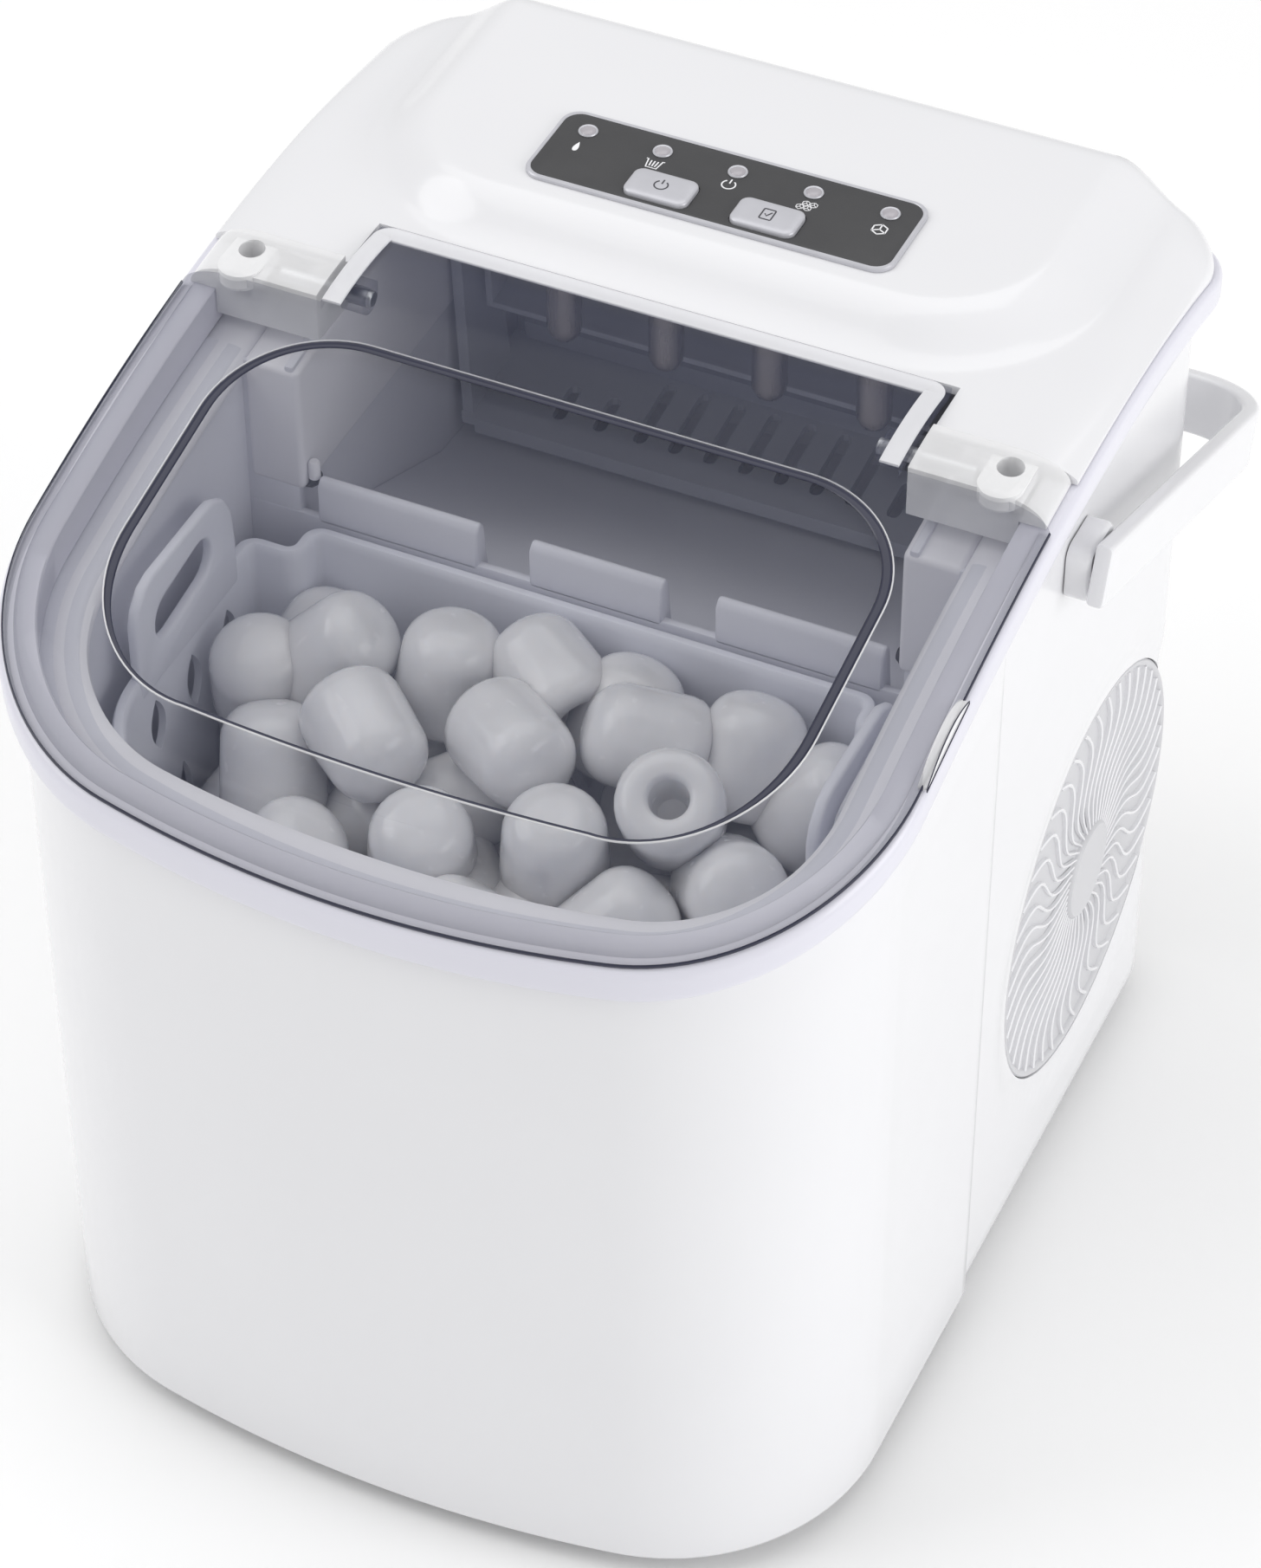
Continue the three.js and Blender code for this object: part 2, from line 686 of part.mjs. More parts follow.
// ---------------------------------------------------------------- control panel
const buttonY = PANEL_Y - BUTTON_BELOW_CENTRE;
const lensY = PANEL_Y + LENS_ABOVE_CENTRE;
const panelTop = HOOD_TOP + GAP + PANEL_THICKNESS;
const boardTop = HOOD_TOP - WALL - 3.5;

function buttonOutline(x, grow) {
  const w = BUTTON_WIDTH / 2 + grow;
  const d = BUTTON_DEPTH / 2 + grow;
  return roundedRectangle(x - w, buttonY - d, x + w, buttonY + d, 2.5 + grow, 3);
}

function lensPlaces() {
  const middle = (LENS_COUNT - 1) / 2;
  return Array.from({ length: LENS_COUNT }, (_, i) => (i - middle) * LENS_PITCH);
}

// outlines of everything that passes up through the hood and the panel
function controlOutlines(grow) {
  const buttons = [-1, 1].map((side) => buttonOutline((side * BUTTON_PITCH) / 2, grow));
  const lenses = lensPlaces().map((x) => circle(x, lensY, LENS_RADIUS + grow, 12));
  return [...buttons, ...lenses];
}

function makeControlPanel() {
  const w = PANEL_WIDTH / 2;
  const d = PANEL_DEPTH / 2;
  const outline = roundedRectangle(-w, PANEL_Y - d, w, PANEL_Y + d, PANEL_CORNER, 5);
  return extrudeZ(outline, HOOD_TOP + GAP, panelTop, controlOutlines(GAP));
}

function makeButton(side) {
  const outline = buttonOutline((side * BUTTON_PITCH) / 2, 0);
  return extrudeZ(outline, boardTop + BUTTON_TRAVEL + GAP, panelTop + BUTTON_PROUD);
}

function makeLens(x) {
  const z = panelTop + 0.5;
  const profile = [
    [0, boardTop + GAP],
    [LENS_RADIUS, boardTop + GAP],
    [LENS_RADIUS, z - 0.3],
    [LENS_RADIUS * 0.7, z],
    [0, z + 0.1],
  ];
  return turned(profile, x, lensY, 12);
}

function makeControlBoard() {
  const w = PANEL_WIDTH / 2 + 2;
  const z0 = boardTop - BOARD_THICKNESS;
  const plate = box(-w, w, PANEL_Y - 16, PANEL_Y + 16, z0, boardTop);
  const connector = box(-w + 4, -w + 16, PANEL_Y + 11, PANEL_Y + 15, z0 + 1, boardTop + 2);
  return join(plate, connector);
}

// ---------------------------------------------------------------- lid
function lidHeight(y) {
  const start = bandTop(0) + LID_RIM;
  const slope = LID_RISE / LID_FLAT_Y;
  const past = Math.max(0, y - LID_FLAT_Y);
  return start + slope * y - (slope * past * past) / (2 * LID_ROLL);
}

// rings climbing from the rim round the shoulder to the flat
function lidRings(grow, shoulder, drop, rearY, steps) {
  const rings = [];
  for (let i = 0; i <= steps; i += 1) {
    const turn = radians((90 * i) / steps);
    const outline = bowOutline(grow - shoulder * (1 - Math.cos(turn)), rearY);
    rings.push(
      outline.map(([x, y]) => {
        const rim = bandTop(y) + GAP;
        return [x, y, rim + (lidHeight(y) - drop - rim) * Math.sin(turn)];
      }),
    );
  }
  return rings;
}

// the rings' skin; a wall as thick as given, or a full block when it is zero
function lidBody(wall, rearY) {
  const steps = 5;
  const outer = lidRings(LID_PROUD, LID_SHOULDER, 0, rearY, steps);
  const inner = wall
    ? lidRings(LID_PROUD - wall, LID_SHOULDER - wall, wall, rearY, steps)
    : [outer[0]];
  const rings = [...outer.slice().reverse(), ...(wall ? inner : [])];
  const count = rings[0].length;
  const triangles = [];
  for (let ring = 0; ring + 1 < rings.length; ring += 1) {
    for (let i = 0; i + 1 < count; i += 1) {
      const a = ring * count + i;
      const b = a + count;
      triangles.push([a, b, b + 1], [a, b + 1, a + 1]);
    }
  }
  const last = (rings.length - 1) * count;
  for (let i = 0; i + 1 < count / 2; i += 1) {
    const j = count - 1 - i;
    triangles.push([i, i + 1, j - 1], [i, j - 1, j]);
    triangles.push([last + i, last + j - 1, last + i + 1], [last + i, last + j, last + j - 1]);
  }
  const leftEnd = rings.map((_, ring) => ring * count);
  const rightEnd = rings.map((_, ring) => ring * count + count - 1);
  for (let i = 0; i + 1 < leftEnd.length; i += 1) {
    const j = leftEnd.length - 1 - i;
    if (wall && i + 1 <= j - 1) {
      triangles.push([leftEnd[i], leftEnd[j], leftEnd[j - 1]]);
      triangles.push([leftEnd[i], leftEnd[j - 1], leftEnd[i + 1]]);
      triangles.push([rightEnd[i], rightEnd[j - 1], rightEnd[j]]);
      triangles.push([rightEnd[i], rightEnd[i + 1], rightEnd[j - 1]]);
    }
  }
  if (wall) {
    triangles.push([leftEnd[0], rightEnd[0], rightEnd.at(-1)]);
    triangles.push([leftEnd[0], rightEnd.at(-1), leftEnd.at(-1)]);
  } else {
    for (let i = 0; i + 1 < leftEnd.length; i += 1) {
      triangles.push([leftEnd[i], rightEnd[i], rightEnd[i + 1]]);
      triangles.push([leftEnd[i], rightEnd[i + 1], leftEnd[i + 1]]);
    }
  }
  return fromTriangles(rings.flat(), triangles);
}

const lidTongueHalf = NOTCH_HALF - LID_TONGUE_CLEAR;

// a lens-shaped finger grip lying along the lid's lower edge
function gripProfile() {
  const steps = 8;
  const stations = Array.from({ length: steps + 1 }, (_, i) => (2 * i) / steps - 1);
  const edge = stations.map((t) => {
    const y = GRIP_Y + (t * GRIP_LENGTH) / 2;
    return [y, bandTop(y) + GAP];
  });
  const crown = stations.map((t, i) => [edge[i][0], edge[i][1] + 0.8 + GRIP_HEIGHT * (1 - t * t)]);
  return [...edge, ...crown.reverse()];
}

function makeLid() {
  const skin = lidBody(LID_WALL, NOTCH_Y + 10);
  const ears = [-1, 1].map((side) => {
    const x0 = side > 0 ? lidTongueHalf - EAR_INSET - EAR_WIDTH : -lidTongueHalf + EAR_INSET;
    const top = lidHeight(HINGE_Y) - LID_WALL / 2;
    const eye = arc(HINGE_Y, HINGE_Z, EAR_RADIUS, 180, 360, 8);
    const profile = [...eye, [HINGE_Y + EAR_RADIUS, top], [HINGE_Y - EAR_RADIUS, top]];
    return extrudeX(profile, x0, x0 + EAR_WIDTH);
  });
  const edge = HALF + LID_PROUD;
  const grip = extrudeX(gripProfile(), edge - LID_WALL * 0.8, edge + GRIP_PROUD);
  const cutters = [
    box(-BIG, -lidTongueHalf, LID_BODY_Y, BIG, -BIG, BIG),
    box(lidTongueHalf, BIG, LID_BODY_Y, BIG, -BIG, BIG),
    box(-BIG, BIG, NOTCH_Y - LID_TONGUE_CLEAR, BIG, -BIG, BIG),
    rodX(-HALF, HALF, HINGE_Y, HINGE_Z, HINGE_PIN_RADIUS + RUNNING, 12),
  ];
  return cut(join(skin, ears, grip), cutters);
}

const HINGE_BLOCK_START = 1.2; // behind the lid's body
const HINGE_BLOCK_DROP = 10;
const SCREW_X = HALF - 11;
const SCREW_HEAD_RADIUS = 3;
const SCREW_SEAT = 3; // screw head seat below the band's top

function makeHingeCover(side) {
  const y0 = LID_BODY_Y + HINGE_BLOCK_START;
  const y1 = HOOD_FRONT_Y - GAP;
  const x0 = lidTongueHalf + LID_TONGUE_CLEAR + GAP;
  const x1 = HALF + LID_PROUD - 1.5;
  const shoulder = common(lidBody(0, NOTCH_Y + 10), box(x0, x1, y0, y1, -BIG, BIG));
  const deep = box(x0, HALF - TRIM_INSET - GAP, y0, y1, CREST - HINGE_BLOCK_DROP, CREST - 1);
  const seat = bandTop(HINGE_Y) - SCREW_SEAT;
  const cover = cut(
    join(shoulder, deep),
    rodX(0, HINGE_PIN_END + GAP, HINGE_Y, HINGE_Z, HINGE_PIN_RADIUS + GAP, 12),
    rodZ(SCREW_X, HINGE_Y, seat, BIG, SCREW_HEAD_RADIUS + GAP, 14),
    rodZ(SCREW_X, HINGE_Y, -BIG, BIG, 1.5 + GAP, 10),
  );
  return side > 0 ? cover : mirrorX(cover);
}

const HINGE_PIN_END = 90;

function makeHingePin(side) {
  const x0 = lidTongueHalf - EAR_INSET - EAR_WIDTH - 1;
  const pin = rodX(x0, HINGE_PIN_END, HINGE_Y, HINGE_Z, HINGE_PIN_RADIUS, 12);
  return side > 0 ? pin : mirrorX(pin);
}

function makeHingeScrew(side) {
  const seat = bandTop(HINGE_Y) - SCREW_SEAT + GAP;
  const profile = [
    [0, seat - 9],
    [1.5, seat - 8],
    [1.5, seat],
    [SCREW_HEAD_RADIUS, seat],
    [SCREW_HEAD_RADIUS, seat + 1.2],
    [SCREW_HEAD_RADIUS * 0.6, seat + 2],
    [0, seat + 2],
  ];
  const body = turned(profile, SCREW_X, HINGE_Y, 12);
  const cross = [
    box(SCREW_X - 1.8, SCREW_X + 1.8, HINGE_Y - 0.4, HINGE_Y + 0.4, seat + 1, seat + 3),
    box(SCREW_X - 0.4, SCREW_X + 0.4, HINGE_Y - 1.8, HINGE_Y + 1.8, seat + 1, seat + 3),
  ];
  const screw = cut(body, cross);
  return side > 0 ? screw : mirrorX(screw);
}

// ---------------------------------------------------------------- tub and basket
const rampStart = DIVIDER_TOP - 6;
const bayFloor = rampStart - RAMP_DROP;

// side view of the ice-making bay; drop moves its floor down, grow its walls out
function bayProfile(drop, grow) {
  return [
    [DIVIDER_Y + DIVIDER_WALL - grow, rampStart - drop],
    [RAMP_END_Y, bayFloor - drop],
    [BAY_REAR_Y + grow, bayFloor - BAY_FLOOR_FALL - drop],
    [BAY_REAR_Y + grow, BIG],
    [DIVIDER_Y + DIVIDER_WALL - grow, BIG],
  ];
}

function makeTubLiner() {
  const rearY = DIVIDER_Y + DIVIDER_WALL;
  const frontBlock = extrudeZ(bowOutline(TUB_WALL - TUB_CLEAR, rearY), FLOOR_Z - TUB_WALL, CREST);
  const bayHalf = CHEEK_HALF + DIVIDER_WALL;
  const bayBlock = extrudeX(bayProfile(DIVIDER_WALL, DIVIDER_WALL), -bayHalf, bayHalf);
  const flange = common(
    extrudeZ(bowOutline(-WALL - SIDE_STEP - GAP, rearY + 5), 0, CREST),
    sideSlab((y) => sill(y) - GAP - TUB_WALL, (y) => sill(y) - GAP, 0, rearY + 5, 20),
  );
  const frontRoom = extrudeZ(bowOutline(-TUB_CLEAR, DIVIDER_Y), FLOOR_Z, BIG);
  const bayRoom = extrudeX(bayProfile(0, 0), -CHEEK_HALF, CHEEK_HALF);
  const passage = box(-CHEEK_HALF, CHEEK_HALF, DIVIDER_Y - 1, rearY + 1, DIVIDER_TOP, BIG);
  const shell = cut(
    join(frontBlock, bayBlock, flange),
    frontRoom,
    bayRoom,
    passage,
    above((y) => sill(y) - GAP),
    tubHoles(),
  );
  return join(shell, tubLedges(), basketPosts());
}

function tubHoles() {
  const x = CHEEK_HALF + DIVIDER_WALL + 1;
  return [
    rodX(-x, x, TRAY_Y, TRAY_Z, STUB_RADIUS + RUNNING, 14),
    rodX(0, x, NOZZLE_Y, TRAY_Z + NOZZLE_RISE, HOSE_RADIUS + GAP, 12),
    rodZ(DRAIN_X, DRAIN_TUB_Y, FLOOR_Z - 5, FLOOR_Z + 1, DRAIN_RADIUS - 1.5, 12),
    rodZ(PUMP_X, PUMP_Y, FLOOR_Z - 5, FLOOR_Z + 1, HOSE_RADIUS - 1, 12),
  ];
}

// three blunt ridges that stop the ice from sliding back
function tubLedges() {
  const spans = [
    [-LEDGE_OUTER_END, -LEDGE_OUTER_START],
    [-LEDGE_MIDDLE_HALF, LEDGE_MIDDLE_HALF],
    [LEDGE_OUTER_START, LEDGE_OUTER_END],
  ];
  const top = DIVIDER_TOP + LEDGE_HEIGHT;
  const y1 = DIVIDER_Y + LEDGE_DEPTH;
  const profile = [
    [DIVIDER_Y, DIVIDER_TOP - 1],
    [y1 + 2, DIVIDER_TOP - 8],
    [y1 + 1, DIVIDER_TOP],
    [y1, top - 2],
    [y1 - 1.5, top],
    [DIVIDER_Y + 1.5, top],
    [DIVIDER_Y, top - 2],
  ];
  return spans.map(([x0, x1]) => extrudeX(profile, x0, x1));
}

const basketRim = DIVIDER_TOP - 0.3;
const basketBottom = basketRim - BASKET_DEPTH;
const basketGrow = -TUB_CLEAR - BASKET_CLEAR;

function basketPosts() {
  const places = [
    [-50, 45],
    [50, 45],
    [-50, 110],
    [50, 110],
  ];
  return places.map(([x, y]) => rodZ(x, y, FLOOR_Z - 1, basketBottom - GAP, 5, 10));
}

function basketPlan(inset, z0, z1) {
  const wings = extrudeZ(bowOutline(basketGrow - inset, BASKET_REAR_Y - BASKET_STEP - inset), z0, z1);
  const half = BASKET_STEP_HALF - inset;
  const middle = box(-half, half, BASKET_REAR_Y / 2, BASKET_REAR_Y - inset, z0, z1);
  return join(wings, middle);
}

// a leaf-shaped hole, pointed at both ends
function leaf(u, v, width, height) {
  const steps = 3;
  const right = [];
  for (let i = -steps; i <= steps; i += 1) {
    const t = i / steps;
    right.push([u + (width / 2) * (1 - t * t), v + (height / 2) * t]);
  }
  const left = right.slice(1, -1).reverse().map(([x, y]) => [2 * u - x, y]);
  return [...right, ...left];
}

function basketSlits() {
  const z = basketBottom + BASKET_DEPTH * 0.52;
  const slits = [];
  for (const y of [52, 68, 84, 100]) {
    slits.push(extrudeX(leaf(y, z, SLIT_WIDTH, SLIT_HEIGHT), -HALF, HALF));
  }
  for (const x of [-52, -34, -17, 0, 17, 34, 52]) {
    slits.push(extrudeY(leaf(x, z, SLIT_WIDTH, SLIT_HEIGHT), -5, BASKET_REAR_Y + 1));
  }
  for (const x of [-48, -24, 0, 24, 48]) {
    for (const y of [55, 90]) {
      slits.push(extrudeZ(leaf(x, y, SLIT_WIDTH, SLIT_HEIGHT), basketBottom - 1, basketBottom + 5));
    }
  }
  return slits;
}

function makeIceBasket() {
  const half = HALF + basketGrow;
  const top = basketRim + TAB_HEIGHT;
  const tab = [
    [TAB_START_Y, basketRim - 6],
    [TAB_END_Y, basketRim - 6],
    [TAB_END_Y, basketRim + 4],
    [TAB_END_Y - 9, top - 5],
    [TAB_END_Y - 14, top],
    [TAB_START_Y + 14, top],
    [TAB_START_Y + 7, top - 4],
    [TAB_START_Y, basketRim + 4],
  ];
  const grip = stadium(TAB_START_Y + 15, basketRim + 8, TAB_END_Y - 14, basketRim + 15, 5, 6);
  const tabs = [half - BASKET_WALL, -half].map((x) => extrudeX(tab, x, x + BASKET_WALL));
  const shell = cut(
    basketPlan(0, basketBottom, basketRim),
    basketPlan(BASKET_WALL, basketBottom + BASKET_WALL, BIG),
  );
  return cut(join(shell, tabs), extrudeX(grip, -HALF, HALF), basketSlits());
}

// ---------------------------------------------------------------- ice making
function fingerRow(count, y) {
  return Array.from({ length: count }, (_, i) => [(i - (count - 1) / 2) * FINGER_PITCH, y]);
}

const headerZ = CREST - HEADER_BELOW_CREST;

function makeEvaporator() {
  const half = ((REAR_FINGERS - 1) / 2) * FINGER_PITCH + HEADER_MARGIN;
  const y0 = FINGER_ROW_Y - HEADER_MARGIN;
  const y1 = FINGER_ROW_Y + FINGER_ROWS_APART + HEADER_MARGIN;
  const header = extrudeZ(roundedRectangle(-half, y0, half, y1, 6, 3), headerZ, headerZ + HEADER_HEIGHT);
  const hanger = box(
    -CHEEK_HALF + GAP,
    CHEEK_HALF - GAP,
    TRAY_Y - 8,
    TRAY_Y + 8,
    headerZ + 3,
    headerZ + HEADER_HEIGHT - 1,
  );
  const tip = headerZ - FINGER_LENGTH;
  const profile = [
    [0, tip],
    [FINGER_RADIUS * 0.6, tip + 0.8],
    [FINGER_RADIUS, tip + 4],
    [FINGER_RADIUS, headerZ + 1],
    [0, headerZ + 1],
  ];
  const rows = [
    ...fingerRow(FRONT_FINGERS, FINGER_ROW_Y),
    ...fingerRow(REAR_FINGERS, FINGER_ROW_Y + FINGER_ROWS_APART),
  ];
  return join(header, hanger, rows.map(([x, y]) => turned(profile, x, y, 12)));
}

// a trough round the tray axis with pie-shaped ends
function makeWaterTray() {
  const outer = TRAY_INNER + TRAY_WALL;
  const end = TRAY_START + TRAY_SWEEP;
  const trough = [
    ...arc(TRAY_Y, TRAY_Z, outer, TRAY_START, end, 14),
    ...arc(TRAY_Y, TRAY_Z, TRAY_INNER, end, TRAY_START, 14),
  ];
  const pie = [[TRAY_Y, TRAY_Z], ...arc(TRAY_Y, TRAY_Z, outer, TRAY_START, end, 14)];
  const x0 = TRAY_HALF;
  const x1 = TRAY_HALF + TRAY_WALL;
  const reach = CHEEK_HALF + DIVIDER_WALL + 1.5;
  const pieces = [-1, 1].flatMap((side) => {
    const spanPie = [side * x0, side * x1].sort((a, b) => a - b);
    const spanStub = [side * (x0 + 0.5), side * reach].sort((a, b) => a - b);
    return [
      extrudeX(pie, ...spanPie),
      rodX(...spanPie, TRAY_Y, TRAY_Z, STUB_RADIUS + 2, 14),
      rodX(...spanStub, TRAY_Y, TRAY_Z, STUB_RADIUS, 14),
    ];
  });
  return join(extrudeX(trough, -x0 - 0.5, x0 + 0.5), pieces);
}

function makeTrayMotor() {
  const x1 = -(CHEEK_HALF + DIVIDER_WALL + 1.5 + GAP);
  const body = box(-RIGHT_INNER + 1, x1, TRAY_Y - 22, TRAY_Y + 22, TRAY_Z - 20, TRAY_Z + 11);
  return join(body, rodX(-RIGHT_INNER + 2, x1 - 1, TRAY_Y + 22, TRAY_Z - 5, 6, 14));
}

function slotPlaces() {
  const middle = (LONG_SLOTS - 1) / 2;
  const places = [];
  for (let i = 0; i < LONG_SLOTS; i += 1) {
    places.push([(i - middle) * SLOT_PITCH, SLOT_LENGTH]);
  }
  for (const step of [1, 2]) {
    const x = middle * SLOT_PITCH + step * OUTER_SLOT_PITCH;
    places.push([x, SHORT_SLOT_LENGTH], [-x, SHORT_SLOT_LENGTH]);
  }
  return places;
}

// a slotted plate hung on two arms from the tray axis
function makeIceShovel() {
  const armInner = TRAY_HALF + TRAY_WALL + 2;
  const half = armInner + SHOVEL_ARM;
  const front = -SHOVEL_DEPTH * 0.15;
  const rear = front + SHOVEL_DEPTH;
  const slotFront = front + 7.5;
  const slots = slotPlaces().map(([x, length]) => {
    const inset = SLOT_WIDTH / 2;
    return stadium(x, slotFront + inset, x, slotFront + length - inset, inset, 4);
  });
  const plan = roundedRectangle(-half, front, half, rear, 1, 2);
  const plate = extrudeZ(plan, -SHOVEL_THICKNESS, 0, slots);
  const frontLip = box(-half + 4, half - 4, front, front + 2, -SHOVEL_THICKNESS - 2.5, -1);
  const rearLip = box(-half + 4, half - 4, rear - 2, rear, -1, 6);
  const blade = join(plate, frontLip, rearLip);
  blade.rotateX(radians(SHOVEL_SLOPE)).translate(0, TRAY_Y, TRAY_Z - SHOVEL_BELOW_AXIS);
  const foot = TRAY_Z - SHOVEL_BELOW_AXIS;
  const arm = [
    [TRAY_Y - 3, foot - 2],
    [TRAY_Y + 20, foot + 1],
    [TRAY_Y + STUB_RADIUS + 4, TRAY_Z],
    [TRAY_Y - STUB_RADIUS - 4, TRAY_Z],
  ];
  const arms = [armInner, -half].flatMap((x) => [
    extrudeX(arm, x, x + SHOVEL_ARM),
    rodX(x, x + SHOVEL_ARM, TRAY_Y, TRAY_Z, STUB_RADIUS + 4, 16),
  ]);
  const bores = rodX(-HALF, HALF, TRAY_Y, TRAY_Z, STUB_RADIUS + RUNNING, 14);
  return cut(join(blade, arms), bores);
}

// a small domed sensor that looks across the basket's rim
function makeSensor(side) {
  const x = CHEEK_HALF - GAP;
  const profile = [
    [0, x - 3.5],
    [1.6, x - 3],
    [2.8, x - 1.4],
    [3, x],
    [0, x],
  ];
  const sensor = turnedX(profile, DIVIDER_Y + 5, DIVIDER_TOP + 8, 12);
  return side > 0 ? sensor : mirrorX(sensor);
}

// ---------------------------------------------------------------- cooling works
function grommetPlaces() {
  return [90, 210, 330].map((angle) => {
    const reach = COMPRESSOR_RADIUS - 12;
    const x = COMPRESSOR_X + reach * Math.cos(radians(angle));
    return [x, COMPRESSOR_Y + reach * Math.sin(radians(angle))];
  });
}

const grommetBottom = BASE_TOP + 4 + GAP;
const compressorBottom = grommetBottom + GROMMET_HEIGHT + GAP;

function makeGrommet([x, y]) {
  return rodZ(x, y, grommetBottom, grommetBottom + GROMMET_HEIGHT, 6, 12);
}

const compressorTop = compressorBottom + COMPRESSOR_HEIGHT;
const PIPE_STUBS = [
  [COMPRESSOR_X - 14, COMPRESSOR_Y + 14],
  [COMPRESSOR_X + 14, COMPRESSOR_Y - 14],
];

function makeCompressor() {
  const r = COMPRESSOR_RADIUS;
  const z0 = compressorBottom;
  const profile = [
    [0, z0],
    [r - 8, z0],
    [r - 4, z0 + 6],
    [r - 2, z0 + 45],
    [r, z0 + 48],
    [r, z0 + 54],
    [r - 2, z0 + 57],
    [r - 4, compressorTop - 22],
    [r - 14, compressorTop - 6],
    [r - 28, compressorTop],
    [0, compressorTop],
  ];
  const stubs = PIPE_STUBS.map(([x, y]) => rodZ(x, y, compressorTop - 8, compressorTop + 4, 3, 10));
  return join(turned(profile, COMPRESSOR_X, COMPRESSOR_Y, 28), stubs);
}

function makeTerminalBox() {
  const x0 = COMPRESSOR_X + COMPRESSOR_RADIUS + GAP;
  const z0 = compressorBottom + 30;
  return box(x0, x0 + 12, COMPRESSOR_Y - 16, COMPRESSOR_Y + 16, z0, z0 + 34);
}

// how far out the rear shell's inner face stands at a y, its rounded rear corner included
function innerReach(y) {
  const radius = REAR_CORNER - SIDE_STEP - WALL;
  const past = Math.min(radius, Math.max(0, y - (SHELL_DEPTH - REAR_CORNER)));
  return HALF - REAR_CORNER + Math.sqrt(radius ** 2 - past ** 2);
}

const grilleOuter = RIGHT_OUTER - GRILLE_RECESS;
const fanFront = grilleOuter - GRILLE_THICKNESS - FAN_BEHIND_GRILLE;
const shroudInner = fanFront - SHROUD_DEPTH + 2;
const ductRadius = FAN_RADIUS + 4;
const ductFront = Math.min(fanFront + 1, innerReach(FAN_Y + ductRadius) - GAP);
const motorFront = fanFront - FAN_HUB_LENGTH - 3;

function makeFanGrille() {
  const rimInner = GRILLE_RADIUS - 3;
  const windows = [];
  const pitch = 360 / GRILLE_SPOKES;
  for (let i = 0; i < GRILLE_SPOKES; i += 1) {
    const middle = i * pitch;
    const outerTurn = pitch / 2 - THREE.MathUtils.radToDeg(SPOKE_WIDTH / 2 / rimInner);
    const innerTurn = pitch / 2 - THREE.MathUtils.radToDeg(SPOKE_WIDTH / 2 / GRILLE_HUB);
    windows.push([
      ...arc(FAN_Y, FAN_Z, rimInner, middle - outerTurn, middle + outerTurn, 2),
      ...arc(FAN_Y, FAN_Z, GRILLE_HUB + 1, middle + innerTurn, middle - innerTurn, 1),
    ]);
  }
  const rim = circle(FAN_Y, FAN_Z, GRILLE_RADIUS, 48);
  return extrudeX(rim, grilleOuter - GRILLE_THICKNESS, grilleOuter, windows);
}

function makeFanShroud() {
  const half = SHROUD_SIZE / 2;
  const square = roundedRectangle(FAN_Y - half, FAN_Z - half, FAN_Y + half, FAN_Z + half, 5, 2);
  const hole = circle(FAN_Y, FAN_Z, FAN_RADIUS + 2, 32);
  const plate = extrudeX(square, shroudInner - 2, shroudInner, [hole]);
  const outer = circle(FAN_Y, FAN_Z, ductRadius, 32);
  return join(plate, extrudeX(outer, shroudInner - 1, ductFront, [hole]));
}

function makeFanMotor() {
  const x0 = motorFront - MOTOR_LENGTH;
  const profile = [
    [0, x0],
    [MOTOR_RADIUS - 2, x0],
    [MOTOR_RADIUS, x0 + 2],
    [MOTOR_RADIUS, motorFront - 2],
    [MOTOR_RADIUS - 6, motorFront],
    [SHAFT_RADIUS, motorFront],
    [SHAFT_RADIUS, fanFront - 2],
    [0, fanFront - 2],
  ];
  const reach = SHROUD_SIZE / 2 - 4;
  const strap = box(x0 + 2, x0 + 5, FAN_Y - reach, FAN_Y + reach, FAN_Z - 5, FAN_Z + 5);
  return join(turnedX(profile, FAN_Y, FAN_Z, 18), strap);
}

function makeFanBlade() {
  const x0 = fanFront - FAN_HUB_LENGTH;
  const hub = rodX(x0, fanFront, FAN_Y, FAN_Z, FAN_HUB_RADIUS, 24);
  const blades = [];
  for (let i = 0; i < FAN_BLADES; i += 1) {
    const blade = box(-1, 1, -9, 9, FAN_HUB_RADIUS - 3, FAN_RADIUS - 3);
    blade.rotateZ(radians(35)).rotateX(radians((360 * i) / FAN_BLADES));
    blades.push(blade.translate((x0 + fanFront) / 2, FAN_Y, FAN_Z));
  }
  const bore = rodX(x0 - 1, fanFront - 1.5, FAN_Y, FAN_Z, SHAFT_RADIUS + GAP, 12);
  return cut(join(hub, blades), bore);
}

const condenserOuter = motorFront - MOTOR_LENGTH - 3;
const condenserInner = condenserOuter - CONDENSER_THICKNESS;

// a fin pack: one comb-shaped outline drawn in plan
function makeCondenser() {
  const half = CONDENSER_SIZE / 2;
  const pitch = CONDENSER_SIZE / (2 * CONDENSER_FINS - 1);
  const outer = [];
  const inner = [];
  for (let i = 0; i < CONDENSER_FINS; i += 1) {
    const y = FAN_Y - half + 2 * i * pitch;
    outer.push([condenserOuter, y], [condenserOuter, y + pitch]);
    inner.push([condenserInner, y], [condenserInner, y + pitch]);
    if (i + 1 < CONDENSER_FINS) {
      outer.push([condenserOuter - 6, y + pitch], [condenserOuter - 6, y + 2 * pitch]);
      inner.push([condenserInner + 6, y + pitch], [condenserInner + 6, y + 2 * pitch]);
    }
  }
  return extrudeZ([...outer, ...inner.reverse()], FAN_Z - half, FAN_Z + half);
}

const DRIER_X = 20;
const DRIER_Y = 164;
const DRIER_TOP = 104;
const REAR_PIPE_Y = (BAY_REAR_Y + DIVIDER_WALL + REAR_INNER) / 2;

